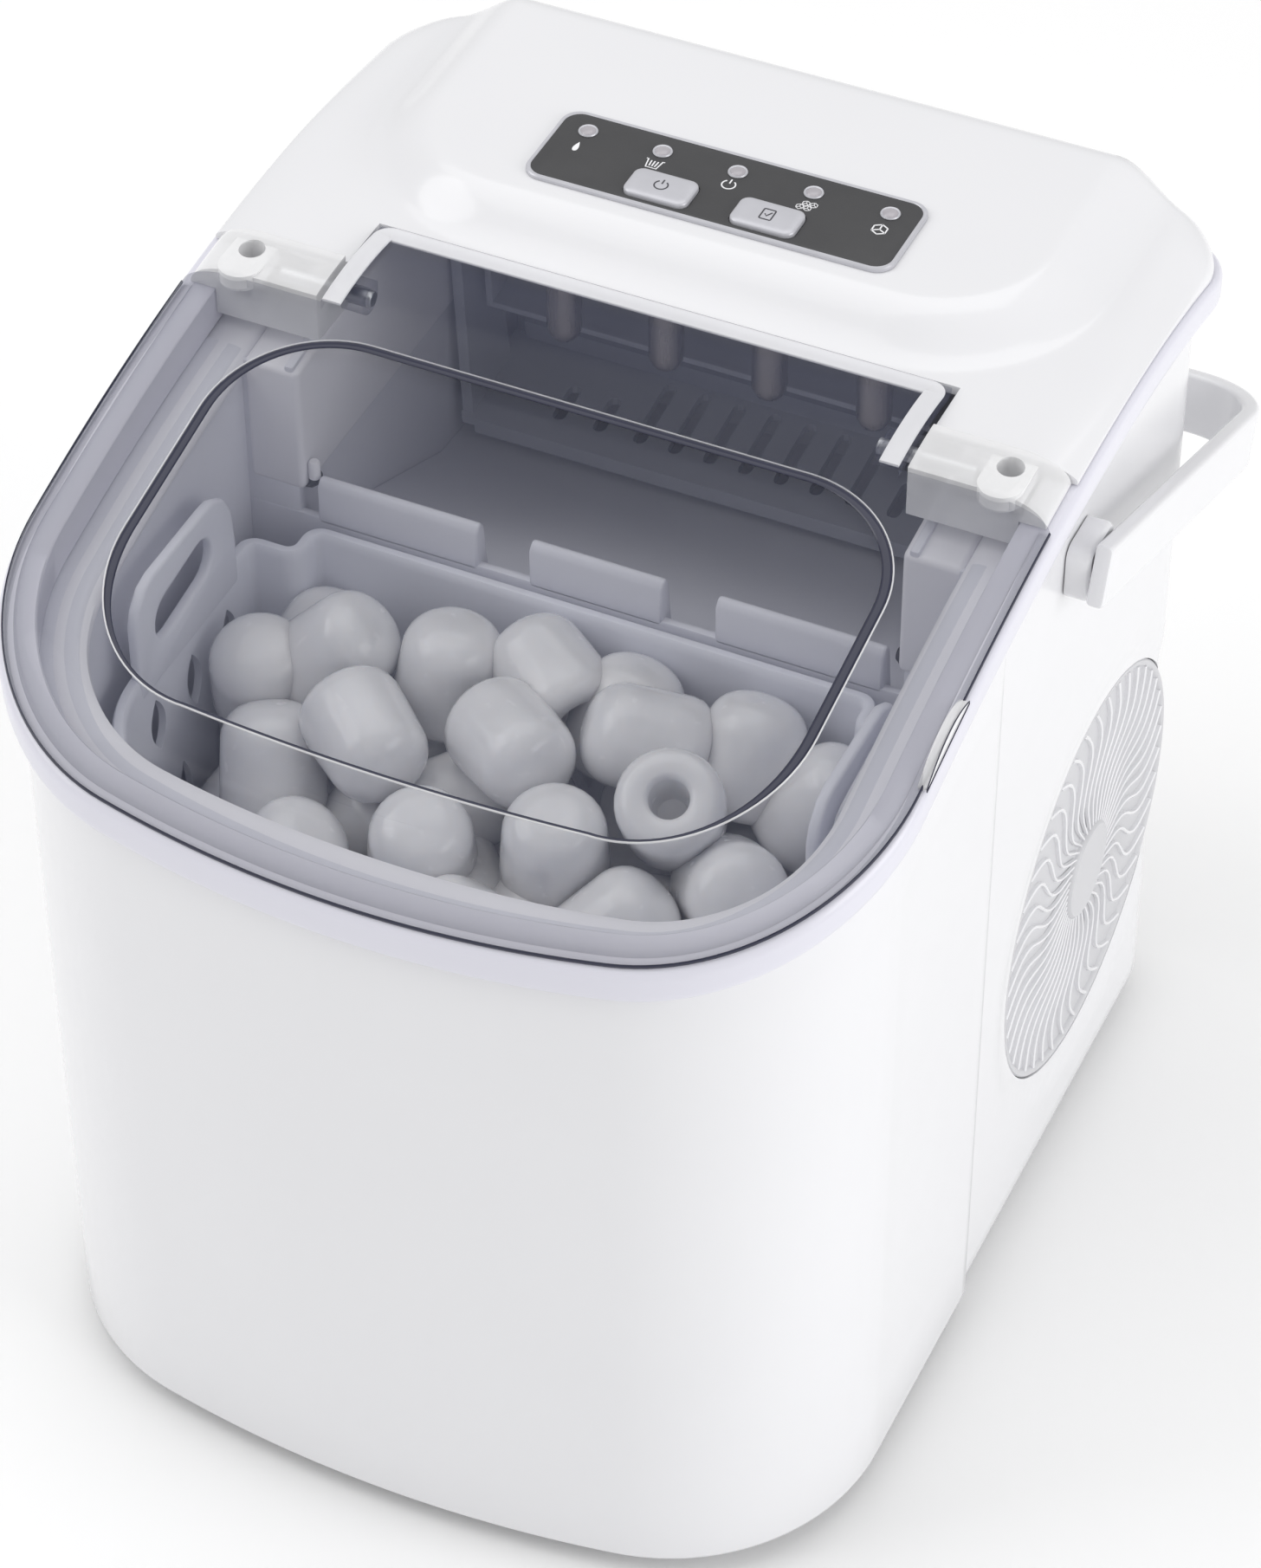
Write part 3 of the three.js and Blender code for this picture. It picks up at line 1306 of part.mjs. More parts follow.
function makeFilterDrier() {
  const profile = [
    [0, 36],
    [3, 36],
    [3, 42],
    [8, 48],
    [8, DRIER_TOP - 12],
    [3, DRIER_TOP - 6],
    [3, DRIER_TOP],
    [0, DRIER_TOP],
  ];
  return turned(profile, DRIER_X, DRIER_Y, 14);
}

const headerRear = FINGER_ROW_Y + FINGER_ROWS_APART + HEADER_MARGIN + GAP;
const pipeZ = headerZ + HEADER_HEIGHT / 2;
const UNDER_BAY_Z = compressorTop + 15.4;

// from the compressor's top, back under the bay and up behind it to the header
function makeSuctionPipe() {
  const [x, y] = PIPE_STUBS[0];
  const route = [
    [x, y, compressorTop + 4 + GAP],
    [x, y, UNDER_BAY_Z],
    [x + 14, REAR_PIPE_Y, UNDER_BAY_Z],
    [x + 14, REAR_PIPE_Y, pipeZ],
    [x + 14, headerRear, pipeZ],
  ];
  return tube(route, PIPE_RADIUS, 7);
}

function makeLiquidPipe() {
  const route = [
    [DRIER_X, DRIER_Y, DRIER_TOP + GAP],
    [DRIER_X, DRIER_Y, UNDER_BAY_Z],
    [DRIER_X, REAR_PIPE_Y, UNDER_BAY_Z],
    [DRIER_X, REAR_PIPE_Y, pipeZ],
    [DRIER_X, headerRear, pipeZ],
  ];
  return tube(route, PIPE_RADIUS * 0.75, 7);
}

function makeDischargePipe() {
  const [x, y] = PIPE_STUBS[1];
  const middle = condenserInner + CONDENSER_THICKNESS / 2;
  const over = UNDER_BAY_Z + 3 * PIPE_RADIUS;
  const route = [
    [x, y, compressorTop + 4 + GAP],
    [x, y, over],
    [middle, y, over],
    [middle, y, FAN_Z + CONDENSER_SIZE / 2 + GAP],
  ];
  return tube(route, PIPE_RADIUS, 7);
}

// ---------------------------------------------------------------- carry handle
const pivotZ = CREST - PIVOT_BELOW_CREST;
const handleInner = HALF + TRIM_PROUD + HANDLE_CLEAR;

// a U in plan, standing on edge, turned down at the back when parked
function makeCarryHandle() {
  const outer = handleInner + HANDLE_THICKNESS;
  const reach = HANDLE_REACH + HANDLE_BAR_THICKNESS;
  const r = HANDLE_CORNER;
  const plan = [
    ...arc(outer - r - 4, reach - r - 4, r + 4, 0, 90, 5),
    ...arc(-outer + r + 4, reach - r - 4, r + 4, 90, 180, 5),
    [-outer, 0],
    [-handleInner, 0],
    ...arc(-handleInner + r, HANDLE_REACH - r, r, 180, 90, 5),
    ...arc(handleInner - r, HANDLE_REACH - r, r, 90, 0, 5),
    [handleInner, 0],
    [outer, 0],
  ];
  const bail = extrudeZ(plan, -HANDLE_HEIGHT / 2, HANDLE_HEIGHT / 2);
  const ends = [handleInner, -outer].map((x) => {
    return rodX(x, x + HANDLE_THICKNESS, 0, 0, HANDLE_END_RADIUS, 20);
  });
  const bores = rodX(-outer - 1, outer + 1, 0, 0, PIVOT_RADIUS + RUNNING, 14);
  const handle = cut(join(bail, ends), bores);
  return handle.rotateX(radians(HANDLE_ANGLE)).translate(0, PIVOT_Y, pivotZ);
}

function makeHandlePivot(side) {
  const outer = handleInner + HANDLE_THICKNESS;
  const profile = [
    [0, RIGHT_INNER - 1],
    [PIVOT_RADIUS, RIGHT_INNER - 1],
    [PIVOT_RADIUS, RIGHT_OUTER + GAP],
    [PIVOT_FLANGE, RIGHT_OUTER + GAP],
    [PIVOT_FLANGE, handleInner - GAP],
    [PIVOT_RADIUS, handleInner - GAP],
    [PIVOT_RADIUS, outer],
    [0, outer],
  ];
  const pivot = turnedX(profile, PIVOT_Y, pivotZ, 16);
  return side > 0 ? pivot : mirrorX(pivot);
}

// ---------------------------------------------------------------- water and electrics
const DRAIN_X = -60;
const DRAIN_TUB_Y = 108;
const NOZZLE_Y = 203;
const NOZZLE_RISE = 8;
const NOZZLE_X = 67; // the hose ends above the tray

function makeWaterPump() {
  const profile = [
    [0, BASE_TOP + GAP],
    [PUMP_RADIUS, BASE_TOP + GAP],
    [PUMP_RADIUS, BASE_TOP + PUMP_HEIGHT - 3],
    [PUMP_RADIUS - 4, BASE_TOP + PUMP_HEIGHT],
    [HOSE_RADIUS, BASE_TOP + PUMP_HEIGHT],
    [HOSE_RADIUS, FLOOR_Z - TUB_WALL - GAP],
    [0, FLOOR_Z - TUB_WALL - GAP],
  ];
  const spout = rodX(PUMP_X, PUMP_X + PUMP_RADIUS + 6, PUMP_Y, BASE_TOP + 18, 3, 10);
  return join(turned(profile, PUMP_X, PUMP_Y, 18), spout);
}

// up the gutter between the tub and the casing, back, and in over the water tray
function makeSupplyHose() {
  const gutter = (HALF - TUB_CLEAR + TUB_WALL + RIGHT_INNER) / 2;
  const run = FLOOR_Z + 134;
  const route = [
    [PUMP_X + PUMP_RADIUS + 6 + GAP, PUMP_Y, BASE_TOP + 18],
    [gutter, PUMP_Y, BASE_TOP + 18],
    [gutter, PUMP_Y, run],
    [gutter, NOZZLE_Y, run],
    [gutter, NOZZLE_Y, TRAY_Z + NOZZLE_RISE],
    [NOZZLE_X, NOZZLE_Y, TRAY_Z + NOZZLE_RISE],
  ];
  return tube(route, HOSE_RADIUS, 9, 10);
}

function makeDrainHose() {
  const route = [
    [DRAIN_X, DRAIN_TUB_Y, FLOOR_Z - TUB_WALL - GAP],
    [DRAIN_X, DRAIN_TUB_Y, DRAIN_Z],
    [DRAIN_X, DRAIN_Y, DRAIN_Z],
    [-RIGHT_INNER + GAP, DRAIN_Y, DRAIN_Z],
  ];
  return tube(route, DRAIN_RADIUS, 11, 10);
}

function makeDrainCap() {
  const profile = [
    [0, -RIGHT_OUTER - GAP - 3],
    [DRAIN_FLANGE - 1, -RIGHT_OUTER - GAP - 3],
    [DRAIN_FLANGE, -RIGHT_OUTER - GAP - 2],
    [DRAIN_FLANGE, -RIGHT_OUTER - GAP],
    [DRAIN_RADIUS, -RIGHT_OUTER - GAP],
    [DRAIN_RADIUS, -RIGHT_INNER - GAP],
    [0, -RIGHT_INNER - GAP],
  ];
  return turnedX(profile, DRAIN_Y, DRAIN_Z, 16);
}

// a socket with three blades in its recess
function makePowerInlet() {
  const w = INLET_WIDTH / 2 - GAP;
  const h = INLET_HEIGHT / 2 - GAP;
  const x0 = INLET_X - w;
  const x1 = INLET_X + w;
  const face = REAR_OUTER + GAP + 1.5;
  const body = box(x0, x1, face - INLET_DEPTH, face, INLET_Z - h, INLET_Z + h);
  const flange = box(x0 - 3, x1 + 3, REAR_OUTER + GAP, face, INLET_Z - h - 2, INLET_Z + h + 2);
  const recess = box(x0 + 3, x1 - 3, face - 10, face + 1, INLET_Z - h + 3, INLET_Z + h - 3);
  const blades = [-5, 0, 5].map((x) => {
    return box(INLET_X + x - 0.8, INLET_X + x + 0.8, face - 11, face - 3, INLET_Z - 2, INLET_Z + 2);
  });
  return join(cut(join(body, flange), recess), blades);
}

function makePowerBoard() {
  const z = BASE_TOP + 5;
  const plate = box(-84, -20, 40, 100, z, z + BOARD_THICKNESS);
  const parts = [
    box(-78, -56, 48, 68, z + 1, z + 20),
    box(-48, -36, 50, 62, z + 1, z + 14),
    rodZ(-32, 84, z + 1, z + 22, 7, 12),
    box(-76, -50, 80, 92, z + 1, z + 12),
  ];
  const legs = [
    rodZ(-80, 44, BASE_TOP + GAP, z + 1, 2.5, 8),
    rodZ(-24, 44, BASE_TOP + GAP, z + 1, 2.5, 8),
    rodZ(-80, 96, BASE_TOP + GAP, z + 1, 2.5, 8),
    rodZ(-24, 96, BASE_TOP + GAP, z + 1, 2.5, 8),
  ];
  return join(plate, parts, legs);
}

function makeInsulationPanel() {
  const y0 = DIVIDER_Y + DIVIDER_WALL + GAP;
  return box(-CHEEK_HALF, CHEEK_HALF, y0, y0 + 7, FLOOR_Z, bayFloor - 12);
}

function makeWaterLevelSensor() {
  const y1 = DIVIDER_Y - GAP;
  const holder = box(58, 70, y1 - 4, y1, FLOOR_Z + 6, FLOOR_Z + 26);
  return join(holder, rodZ(64, y1 - 2, FLOOR_Z + 2, FLOOR_Z + 8, 1.5, 10));
}

// ---------------------------------------------------------------- assembly
const group = new THREE.Group();
group.name = "ice_maker";

function place(name, geometry, finish) {
  const [color, roughness, metalness] = COLORS[finish];
  const material = new THREE.MeshStandardMaterial({ color, roughness, metalness });
  const mesh = new THREE.Mesh(geometry, material);
  mesh.name = name;
  group.add(mesh);
}

const SIDES = { left: -1, right: 1 };
const footX = HALF - FOOT_INSET;
const footRows = { front: CORNER_Y - 22, rear: SHELL_DEPTH - FOOT_INSET - 1 };

place("base_tray", makeBaseTray(), "white");
for (const [row, y] of Object.entries(footRows)) {
  for (const [side, sign] of Object.entries(SIDES)) {
    place(`foot_${row}_${side}`, makeFoot(sign * footX, y), "rubber");
  }
}
place("front_shell", makeFrontShell(), "white");
place("rear_shell", makeRearShell(), "white");
place("trim_frame", makeTrimFrame(), "trim");
place("top_cover", makeTopCover(), "white");
place("control_panel", makeControlPanel(), "panel");
place("power_button", makeButton(-1), "button");
place("select_button", makeButton(1), "button");
lensPlaces().forEach((x, i) => place(`indicator_lens_${i + 1}`, makeLens(x), "lens"));
place("control_board", makeControlBoard(), "board");
place("lid", makeLid(), "tint");
for (const [side, sign] of Object.entries(SIDES)) {
  place(`hinge_cover_${side}`, makeHingeCover(sign), "clear");
  place(`hinge_pin_${side}`, makeHingePin(sign), "steel");
  place(`hinge_screw_${side}`, makeHingeScrew(sign), "steel");
  place(`ice_sensor_${side}`, makeSensor(sign), "black");
  place(`handle_pivot_${side}`, makeHandlePivot(sign), "white");
}
place("tub_liner", makeTubLiner(), "tub");
place("ice_basket", makeIceBasket(), "basket");
place("evaporator", makeEvaporator(), "nickel");
place("water_tray", makeWaterTray(), "grey");
place("tray_motor", makeTrayMotor(), "black");
place("ice_shovel", makeIceShovel(), "grey");
place("compressor", makeCompressor(), "black");
place("terminal_box", makeTerminalBox(), "black");
grommetPlaces().forEach((at, i) => place(`compressor_grommet_${i + 1}`, makeGrommet(at), "rubber"));
place("condenser", makeCondenser(), "steel");
place("fan_shroud", makeFanShroud(), "black");
place("fan_motor", makeFanMotor(), "steel");
place("fan_blade", makeFanBlade(), "black");
place("fan_grille", makeFanGrille(), "grille");
place("filter_drier", makeFilterDrier(), "copper");
place("suction_pipe", makeSuctionPipe(), "copper");
place("liquid_pipe", makeLiquidPipe(), "copper");
place("discharge_pipe", makeDischargePipe(), "copper");
place("carry_handle", makeCarryHandle(), "white");
place("water_pump", makeWaterPump(), "black");
place("supply_hose", makeSupplyHose(), "clear");
place("drain_hose", makeDrainHose(), "clear");
place("drain_cap", makeDrainCap(), "rubber");
place("power_inlet", makePowerInlet(), "black");
place("power_board", makePowerBoard(), "board");
place("insulation_panel", makeInsulationPanel(), "foam");
place("water_level_sensor", makeWaterLevelSensor(), "steel");

// the origin is under the middle of the object's own box
const bounds = new THREE.Box3().setFromObject(group);
group.position.y = -(bounds.min.y + bounds.max.y) / 2;

export default group;
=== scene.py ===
"""The looks of a counter-top ice maker: an add-on of one operator a piece, built around its frame."""

import math

import bmesh
import bpy
import numpy as np
from bpy.props import FloatProperty, FloatVectorProperty, IntProperty, PointerProperty
from mathutils import Matrix, Vector


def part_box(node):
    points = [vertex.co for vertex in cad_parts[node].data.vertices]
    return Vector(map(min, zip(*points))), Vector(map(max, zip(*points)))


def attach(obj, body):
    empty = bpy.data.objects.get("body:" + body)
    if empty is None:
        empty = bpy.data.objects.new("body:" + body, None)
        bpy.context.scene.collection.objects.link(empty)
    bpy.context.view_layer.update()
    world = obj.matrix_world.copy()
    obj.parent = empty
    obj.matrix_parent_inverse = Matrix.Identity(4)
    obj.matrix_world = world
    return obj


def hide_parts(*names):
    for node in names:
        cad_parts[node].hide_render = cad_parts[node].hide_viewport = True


bl_info = {
    "name": "Ice maker",
    "version": (1, 0, 0),
    "blender": (4, 5, 0),
    "location": "View3D > Sidebar > Ice maker",
    "description": "Builds the pieces of a counter-top ice maker around its frame",
    "category": "Object",
}

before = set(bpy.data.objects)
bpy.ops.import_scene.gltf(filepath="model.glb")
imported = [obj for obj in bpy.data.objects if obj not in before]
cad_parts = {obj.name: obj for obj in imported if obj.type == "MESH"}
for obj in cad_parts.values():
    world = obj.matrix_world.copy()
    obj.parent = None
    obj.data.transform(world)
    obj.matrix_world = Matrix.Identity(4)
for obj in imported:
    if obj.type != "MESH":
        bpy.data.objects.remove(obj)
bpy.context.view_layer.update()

# ------------------------------------------------------------------ drawing sizes, in millimetres
# y is counted back from the shell's foremost point, z up from the table, x from the middle plane
MM = 0.001
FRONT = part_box("front_shell")[0].y
HALF = 109.0
DEPTH = 266.0
CORNER_RADIUS = 57.0
CORNER_X = 52.0
BOW_RADIUS = 340.0
CORNER_Y = BOW_RADIUS - math.sqrt((BOW_RADIUS - CORNER_RADIUS) ** 2 - CORNER_X**2)
BOW_ANGLE = math.degrees(math.atan2(CORNER_X, BOW_RADIUS - CORNER_Y))
REAR_RADIUS = 22.0
REAR_Y = DEPTH - REAR_RADIUS
CREST_Y = 190.0
SILL = 244.8
SILL_FRONT_FALL = 41.3
SILL_REAR_FALL = 11.3
CREST = 255.3
HOOD_TOP = 267.0
BAND_HEIGHT = 10.5
SEAM_Y = 121.0
STEP = 1.5
LIFT = 2.0
FOOT = 6.0
WALL = 2.5
GAP = 0.3
HINGE_Y = 147.0
TONGUE_HALF = 74.4
TONGUE_Y = 169.5
LID_BODY_Y = 137.0
LID_FRONT = 230
LID_CLIMB = 28.5
LID_CLIMB_Y = 135
LID_LEVELLING = 36
FAN_Y = 201.0
FAN_Z = 87.3
GRILLE_RADIUS = 56.5
SLOTS = 9
SLOT_PITCH = 9
TRAY_Y = 217.0
TRAY_Z = 229.0
TRAY_INNER = 27
TRAY_WALL = 2
DIVIDER_Y = 131.0
DIVIDER_TOP = 196.0
TUB_FLOOR = 60.5
BAY_HALF = 80.0
BASKET_RIM = 195.7
BASKET_BOTTOM = 117.7
PANEL_TOP = 268.2
PIVOT_Y = 170.0
PIVOT_Z = 219.0
HANDLE_INNER = 114.3
HANDLE_THICK = 4.5
HANDLE_TIP = -20
LID_PROUD = 3.0
LID_SHOULDER = 14.0
HOOD_HALF = 112.0
HOOD_SHOULDER = 13
HOOD_CORNER = 25.0
HOOD_ROLL = 10
RAISED_HALF = 80
RAISED_Y = 188
RAISED_CORNER = 28
RAISED_SLOPE = 17
COLLAR_REAR = 150
COVER_FRONT_Y = 138.2
COVER_REAR_Y = 153.7
SCREW_X = 98
KEY_X = (-14, 14)
KEY_MIDDLE_Y = 199.6
LENS_X = (-40, -20, 0, 20, 40)
LENS_Y = 213.7

# the camera, in metres and degrees
CAMERA_PLACE = (0.3966, -0.7012 + FRONT, 1.0059)
CAMERA_TARGET = (0.01441, 0.12 + FRONT, 0.15068)
CAMERA_TURN = 24.9585
CAMERA_ROLL = -0.19
CAMERA_LENS = 116.85


# ------------------------------------------------------------------ working out meshes
def quads(rows, columns, wrap_rows=False, wrap_columns=False):
    """Corner numbers of a grid's faces: each point, the next in its row, and the same two a row on."""
    i = np.arange(rows if wrap_rows else rows - 1)[:, None]
    j = np.arange(columns if wrap_columns else columns - 1)[None, :]
    beside = (j + 1) % columns
    below = (i + 1) % rows * columns
    here = i * columns
    return np.stack([here + j, here + beside, below + beside, below + j], -1).reshape(-1, 4)


def skin(grid, wrap_rows=False, wrap_columns=False, caps=False):
    """A part, which is points and faces, from a grid of points; caps closes its first and last rows."""
    rows, columns = grid.shape[:2]
    faces = quads(rows, columns, wrap_rows, wrap_columns).tolist()
    if caps:
        faces.append(list(range(columns))[::-1])
        faces.append(list(range((rows - 1) * columns, rows * columns)))
    return grid.reshape(-1, 3), faces


def joined(*parts):
    """Several parts as one, each one's corner numbers raised by the points before it."""
    points, faces, start = [], [], 0
    for part_points, part_faces in parts:
        points.append(part_points)
        faces += [[corner + start for corner in face] for face in part_faces]
        start += len(part_points)
    return np.concatenate(points), faces


def flipped(part):
    """The part's mirror image across the middle plane, with each face's corners taken the other way round."""
    points, faces = part
    return points * np.array([-1.0, 1.0, 1.0]), [face[::-1] for face in faces]


SIDES = (("right", lambda part: part), ("left", flipped))


def both_sides(part):
    return joined(part, flipped(part))


def arc(x, y, radius_x, start, end, steps, radius_y=None):
    """Points on an ellipse's arc, at evenly spaced angles in degrees from start to end."""
    turn = np.radians(np.linspace(start, end, steps + 1))
    tall = radius_x if radius_y is None else radius_y
    return np.stack([x + radius_x * np.cos(turn), y + tall * np.sin(turn)], 1)


def rounded_box(x0, y0, x1, y1, radius, steps=6):
    """Outline of a rectangle whose four corners are quarter circles."""
    return np.concatenate([
        arc(x1 - radius, y0 + radius, radius, -90, 0, steps),
        arc(x1 - radius, y1 - radius, radius, 0, 90, steps),
        arc(x0 + radius, y1 - radius, radius, 90, 180, steps),
        arc(x0 + radius, y0 + radius, radius, 180, 270, steps),
    ])


def stadium(x0, y0, x1, y1, radius, steps=8):
    """Outline of a slot: half circles about two points, joined by straight sides."""
    turn = math.degrees(math.atan2(y1 - y0, x1 - x0))
    return np.concatenate([
        arc(x1, y1, radius, turn - 90, turn + 90, steps),
        arc(x0, y0, radius, turn + 90, turn + 270, steps),
    ])


def prism(outline, low, high, axis="z"):
    """An outline carried straight from low to high: drawn as (x, y) for z, (y, z) for x and (x, z) for y."""
    order = {"z": (0, 1, 2), "x": (1, 2, 0), "y": (0, 2, 1)}[axis]
    grid = np.zeros((2, len(outline), 3))
    grid[:, :, order[0]] = outline[:, 0]
    grid[:, :, order[1]] = outline[:, 1]
    grid[:, :, order[2]] = np.array([low, high])[:, None]
    return skin(grid, wrap_columns=True, caps=True)


def block(x0, x1, y0, y1, z0, z1):
    return prism(np.array([[x0, y0], [x1, y0], [x1, y1], [x0, y1]], float), z0, z1)


def pillow(outline_at, heights):
    """Outlines shrunk by each first number of heights and set at each second one, closed above and below."""
    grid = np.stack([
        np.concatenate([outline_at(inset), np.full((len(outline_at(inset)), 1), z)], 1)
        for inset, z in heights
    ])
    return skin(grid, wrap_columns=True, caps=True)


def turned(profile, centre, direction=(0, 0, 1), steps=40):
    """Radius and height pairs turned round an axis that runs from the centre in the direction."""
    profile = np.asarray(profile, float)
    axis = np.asarray(direction, float) / np.linalg.norm(direction)
    side = np.cross(axis, (0.0, 0.0, 1.0) if abs(axis[2]) < 0.9 else (1.0, 0.0, 0.0))
    side /= np.linalg.norm(side)
    other = np.cross(axis, side)
    turn = np.linspace(0, 2 * math.pi, steps, endpoint=False)
    ring = np.cos(turn)[:, None] * side + np.sin(turn)[:, None] * other
    grid = np.asarray(centre, float) + profile[:, None, 1:] * axis + profile[:, None, :1] * ring[None]
    return skin(grid, wrap_columns=True, caps=True)


def swept(path, section, up=(0.0, 0.0, 1.0), closed=False, scale=None):
    """A section carried along a path: its first number goes sideways, and its second upwards."""
    path = np.asarray(path, float)
    ahead = np.roll(path, -1, 0) - np.roll(path, 1, 0) if closed else np.gradient(path, axis=0)
    ahead /= np.linalg.norm(ahead, axis=1)[:, None]
    side = np.cross(ahead, np.asarray(up, float))
    side /= np.linalg.norm(side, axis=1)[:, None]
    lift = np.cross(side, ahead)
    size = np.ones(len(path)) if scale is None else scale
    section = np.asarray(section, float)[None] * size[:, None, None]
    grid = path[:, None] + side[:, None] * section[..., :1] + lift[:, None] * section[..., 1:]
    return skin(grid, wrap_rows=closed, wrap_columns=True, caps=not closed)


def oval(half_width, half_height, steps=12):
    return arc(0, 0, half_width, 0, 360, steps, half_height)[:-1]


def to_middle(x, y):
    """A straight line from x to the middle plane, without its first point."""
    return np.stack([np.linspace(x, 0, 14)[1:], np.full(13, y)], 1)


def closed_line(right):
    """A closed line from its right half, whose ends are on the middle plane, and the mirror image."""
    return np.concatenate([right, right[::-1][1:-1] * np.array([-1.0, 1.0])])


def smooth_step(share):
    share = np.clip(share, 0, 1)
    return share * share * (3 - 2 * share)


# ------------------------------------------------------------------ the shell's curves
def sill(y):
    """Top edge of the shell: two parabolas that fall away from the crest to the front and the back."""
    y = np.asarray(y, float)
    forward = ((y - CREST_Y) / CREST_Y) ** 2 * SILL_FRONT_FALL
    backward = ((y - CREST_Y) / (DEPTH - CREST_Y)) ** 2 * SILL_REAR_FALL
    return SILL - np.where(y < CREST_Y, forward, backward)


def band_top(y):
    return sill(y) + BAND_HEIGHT


def lid_height(y):
    """Flat of the lid: a straight climb that then runs level along a parabola."""
    y = np.asarray(y, float)
    climb = LID_CLIMB / LID_CLIMB_Y
    past = np.maximum(0, y - LID_CLIMB_Y)
    return LID_FRONT + climb * y - climb * past * past / LID_LEVELLING


def half_plan(grow, first=None, last=None):
    """Right half of the plan, grown outwards: bowed front, corner arc, straight side, rear corner and rear
    line. first and last cut it at those y, and without them it runs from the front's middle to the rear's
    middle."""
    pieces = []
    if first is None:
        pieces.append(arc(0, BOW_RADIUS, BOW_RADIUS + grow, 270, 270 + BOW_ANGLE, 14)[:-1])
        pieces.append(arc(CORNER_X, CORNER_Y, CORNER_RADIUS + grow, 270 + BOW_ANGLE, 360, 28)[:-1])
    y0 = CORNER_Y if first is None else first
    y1 = REAR_Y if last is None else last
    count = max(4, int((y1 - y0) / 3))
    pieces.append(np.stack([np.full(count + 1, HALF + grow), np.linspace(y0, y1, count + 1)], 1))
    if last is None:
        pieces.append(arc(HALF - REAR_RADIUS, REAR_Y, REAR_RADIUS + grow, 0, 90, 14)[1:])
        across = np.linspace(HALF - REAR_RADIUS, 0, 17)[1:]
        pieces.append(np.stack([across, np.full(len(across), DEPTH + grow)], 1))
    return np.concatenate(pieces)


def plan(grow, first=None, last=None):
    """The half plan and its mirror image as one line, closed where it runs all the way round."""
    right = half_plan(grow, first, last)
    left = right[::-1] * np.array([-1.0, 1.0])
    if first is not None:
        return np.concatenate([right, left[1:]])
    if last is None:
        return np.concatenate([left[:-1], right[:-1]])
    return np.concatenate([left[:-1], right])


def wall(profile, low, high, first=None, last=None):
    """A wall's section carried along the plan. Each of the section's points is how far it stands out, its
    share of the way from the low curve to the high one, and a rise added to that."""
    rows = []
    for grow, share, rise in profile:
        line = plan(grow, first, last)
        z = low(line[:, 1]) * (1 - share) + high(line[:, 1]) * share + rise
        rows.append(np.column_stack([line, z]))
    grid = np.stack(rows, 1)
    whole = first is None and last is None
    return skin(grid, wrap_rows=whole, wrap_columns=True, caps=not whole)


# ------------------------------------------------------------------ finishing pieces
def to_mesh(name, part, upward=False):
    """A mesh in the frame's metres, doubles merged, with its faces turned outwards, or upwards if open."""
    points, faces = part
    points = np.array(points, float) * MM
    points[:, 1] += FRONT
    mesh = bpy.data.meshes.new(name)
    mesh.from_pydata(points, [], faces)
    work = bmesh.new()
    work.from_mesh(mesh)
    bmesh.ops.remove_doubles(work, verts=work.verts, dist=2e-6)
    bmesh.ops.dissolve_degenerate(work, edges=work.edges, dist=1e-6)
    bmesh.ops.recalc_face_normals(work, faces=work.faces)
    if upward and sum(face.normal.z * face.calc_area() for face in work.faces) < 0:
        bmesh.ops.reverse_faces(work, faces=work.faces)
    work.to_mesh(mesh)
    work.free()
    return mesh


def worked(part, thickness=0.0, cutters=(), bevel=0.0, segments=2):
    """A part given its wall's thickness, its holes cut and its edges rounded, back in millimetres."""
    piece = bpy.data.objects.new("work", to_mesh("work", part, upward=thickness > 0))
    bpy.context.scene.collection.objects.link(piece)
    extras = [piece]
    if thickness:
        solid = piece.modifiers.new("wall", "SOLIDIFY")
        solid.thickness = thickness * MM
        solid.offset = -1
        solid.use_even_offset = True
    for cutter_part in cutters:
        cutter = bpy.data.objects.new("cutter", to_mesh("cutter", cutter_part))
        bpy.context.scene.collection.objects.link(cutter)
        extras.append(cutter)
        hole = piece.modifiers.new("hole", "BOOLEAN")
        hole.operation = "DIFFERENCE"
        hole.solver = "EXACT"
        hole.object = cutter
    if bevel:
        edge = piece.modifiers.new("edge", "BEVEL")
        edge.width = bevel * MM
        edge.segments = segments
        edge.limit_method = "ANGLE"
        edge.angle_limit = math.radians(50)
    depsgraph = bpy.context.evaluated_depsgraph_get()
    mesh = bpy.data.meshes.new_from_object(piece.evaluated_get(depsgraph))
    points = np.zeros(len(mesh.vertices) * 3)
    mesh.vertices.foreach_get("co", points)
    points = points.reshape(-1, 3)
    points[:, 1] -= FRONT
    faces = [list(polygon.vertices) for polygon in mesh.polygons]
    for extra in extras:
        bpy.data.objects.remove(extra)
    return points / MM, faces


def add_piece(name, part, body, material, replaces=(), sharp=35.0):
    """A finished piece at the origin, shaded smooth but for edges sharper than sharp, riding on its body."""
    mesh = to_mesh(name, part)
    mesh.shade_smooth()
    mesh.set_sharp_from_angle(angle=math.radians(sharp))
    mesh.materials.append(material)
    piece = bpy.data.objects.new(name, mesh)
    bpy.context.scene.collection.objects.link(piece)
    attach(piece, body)
    if replaces:
        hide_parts(*replaces)
    return piece


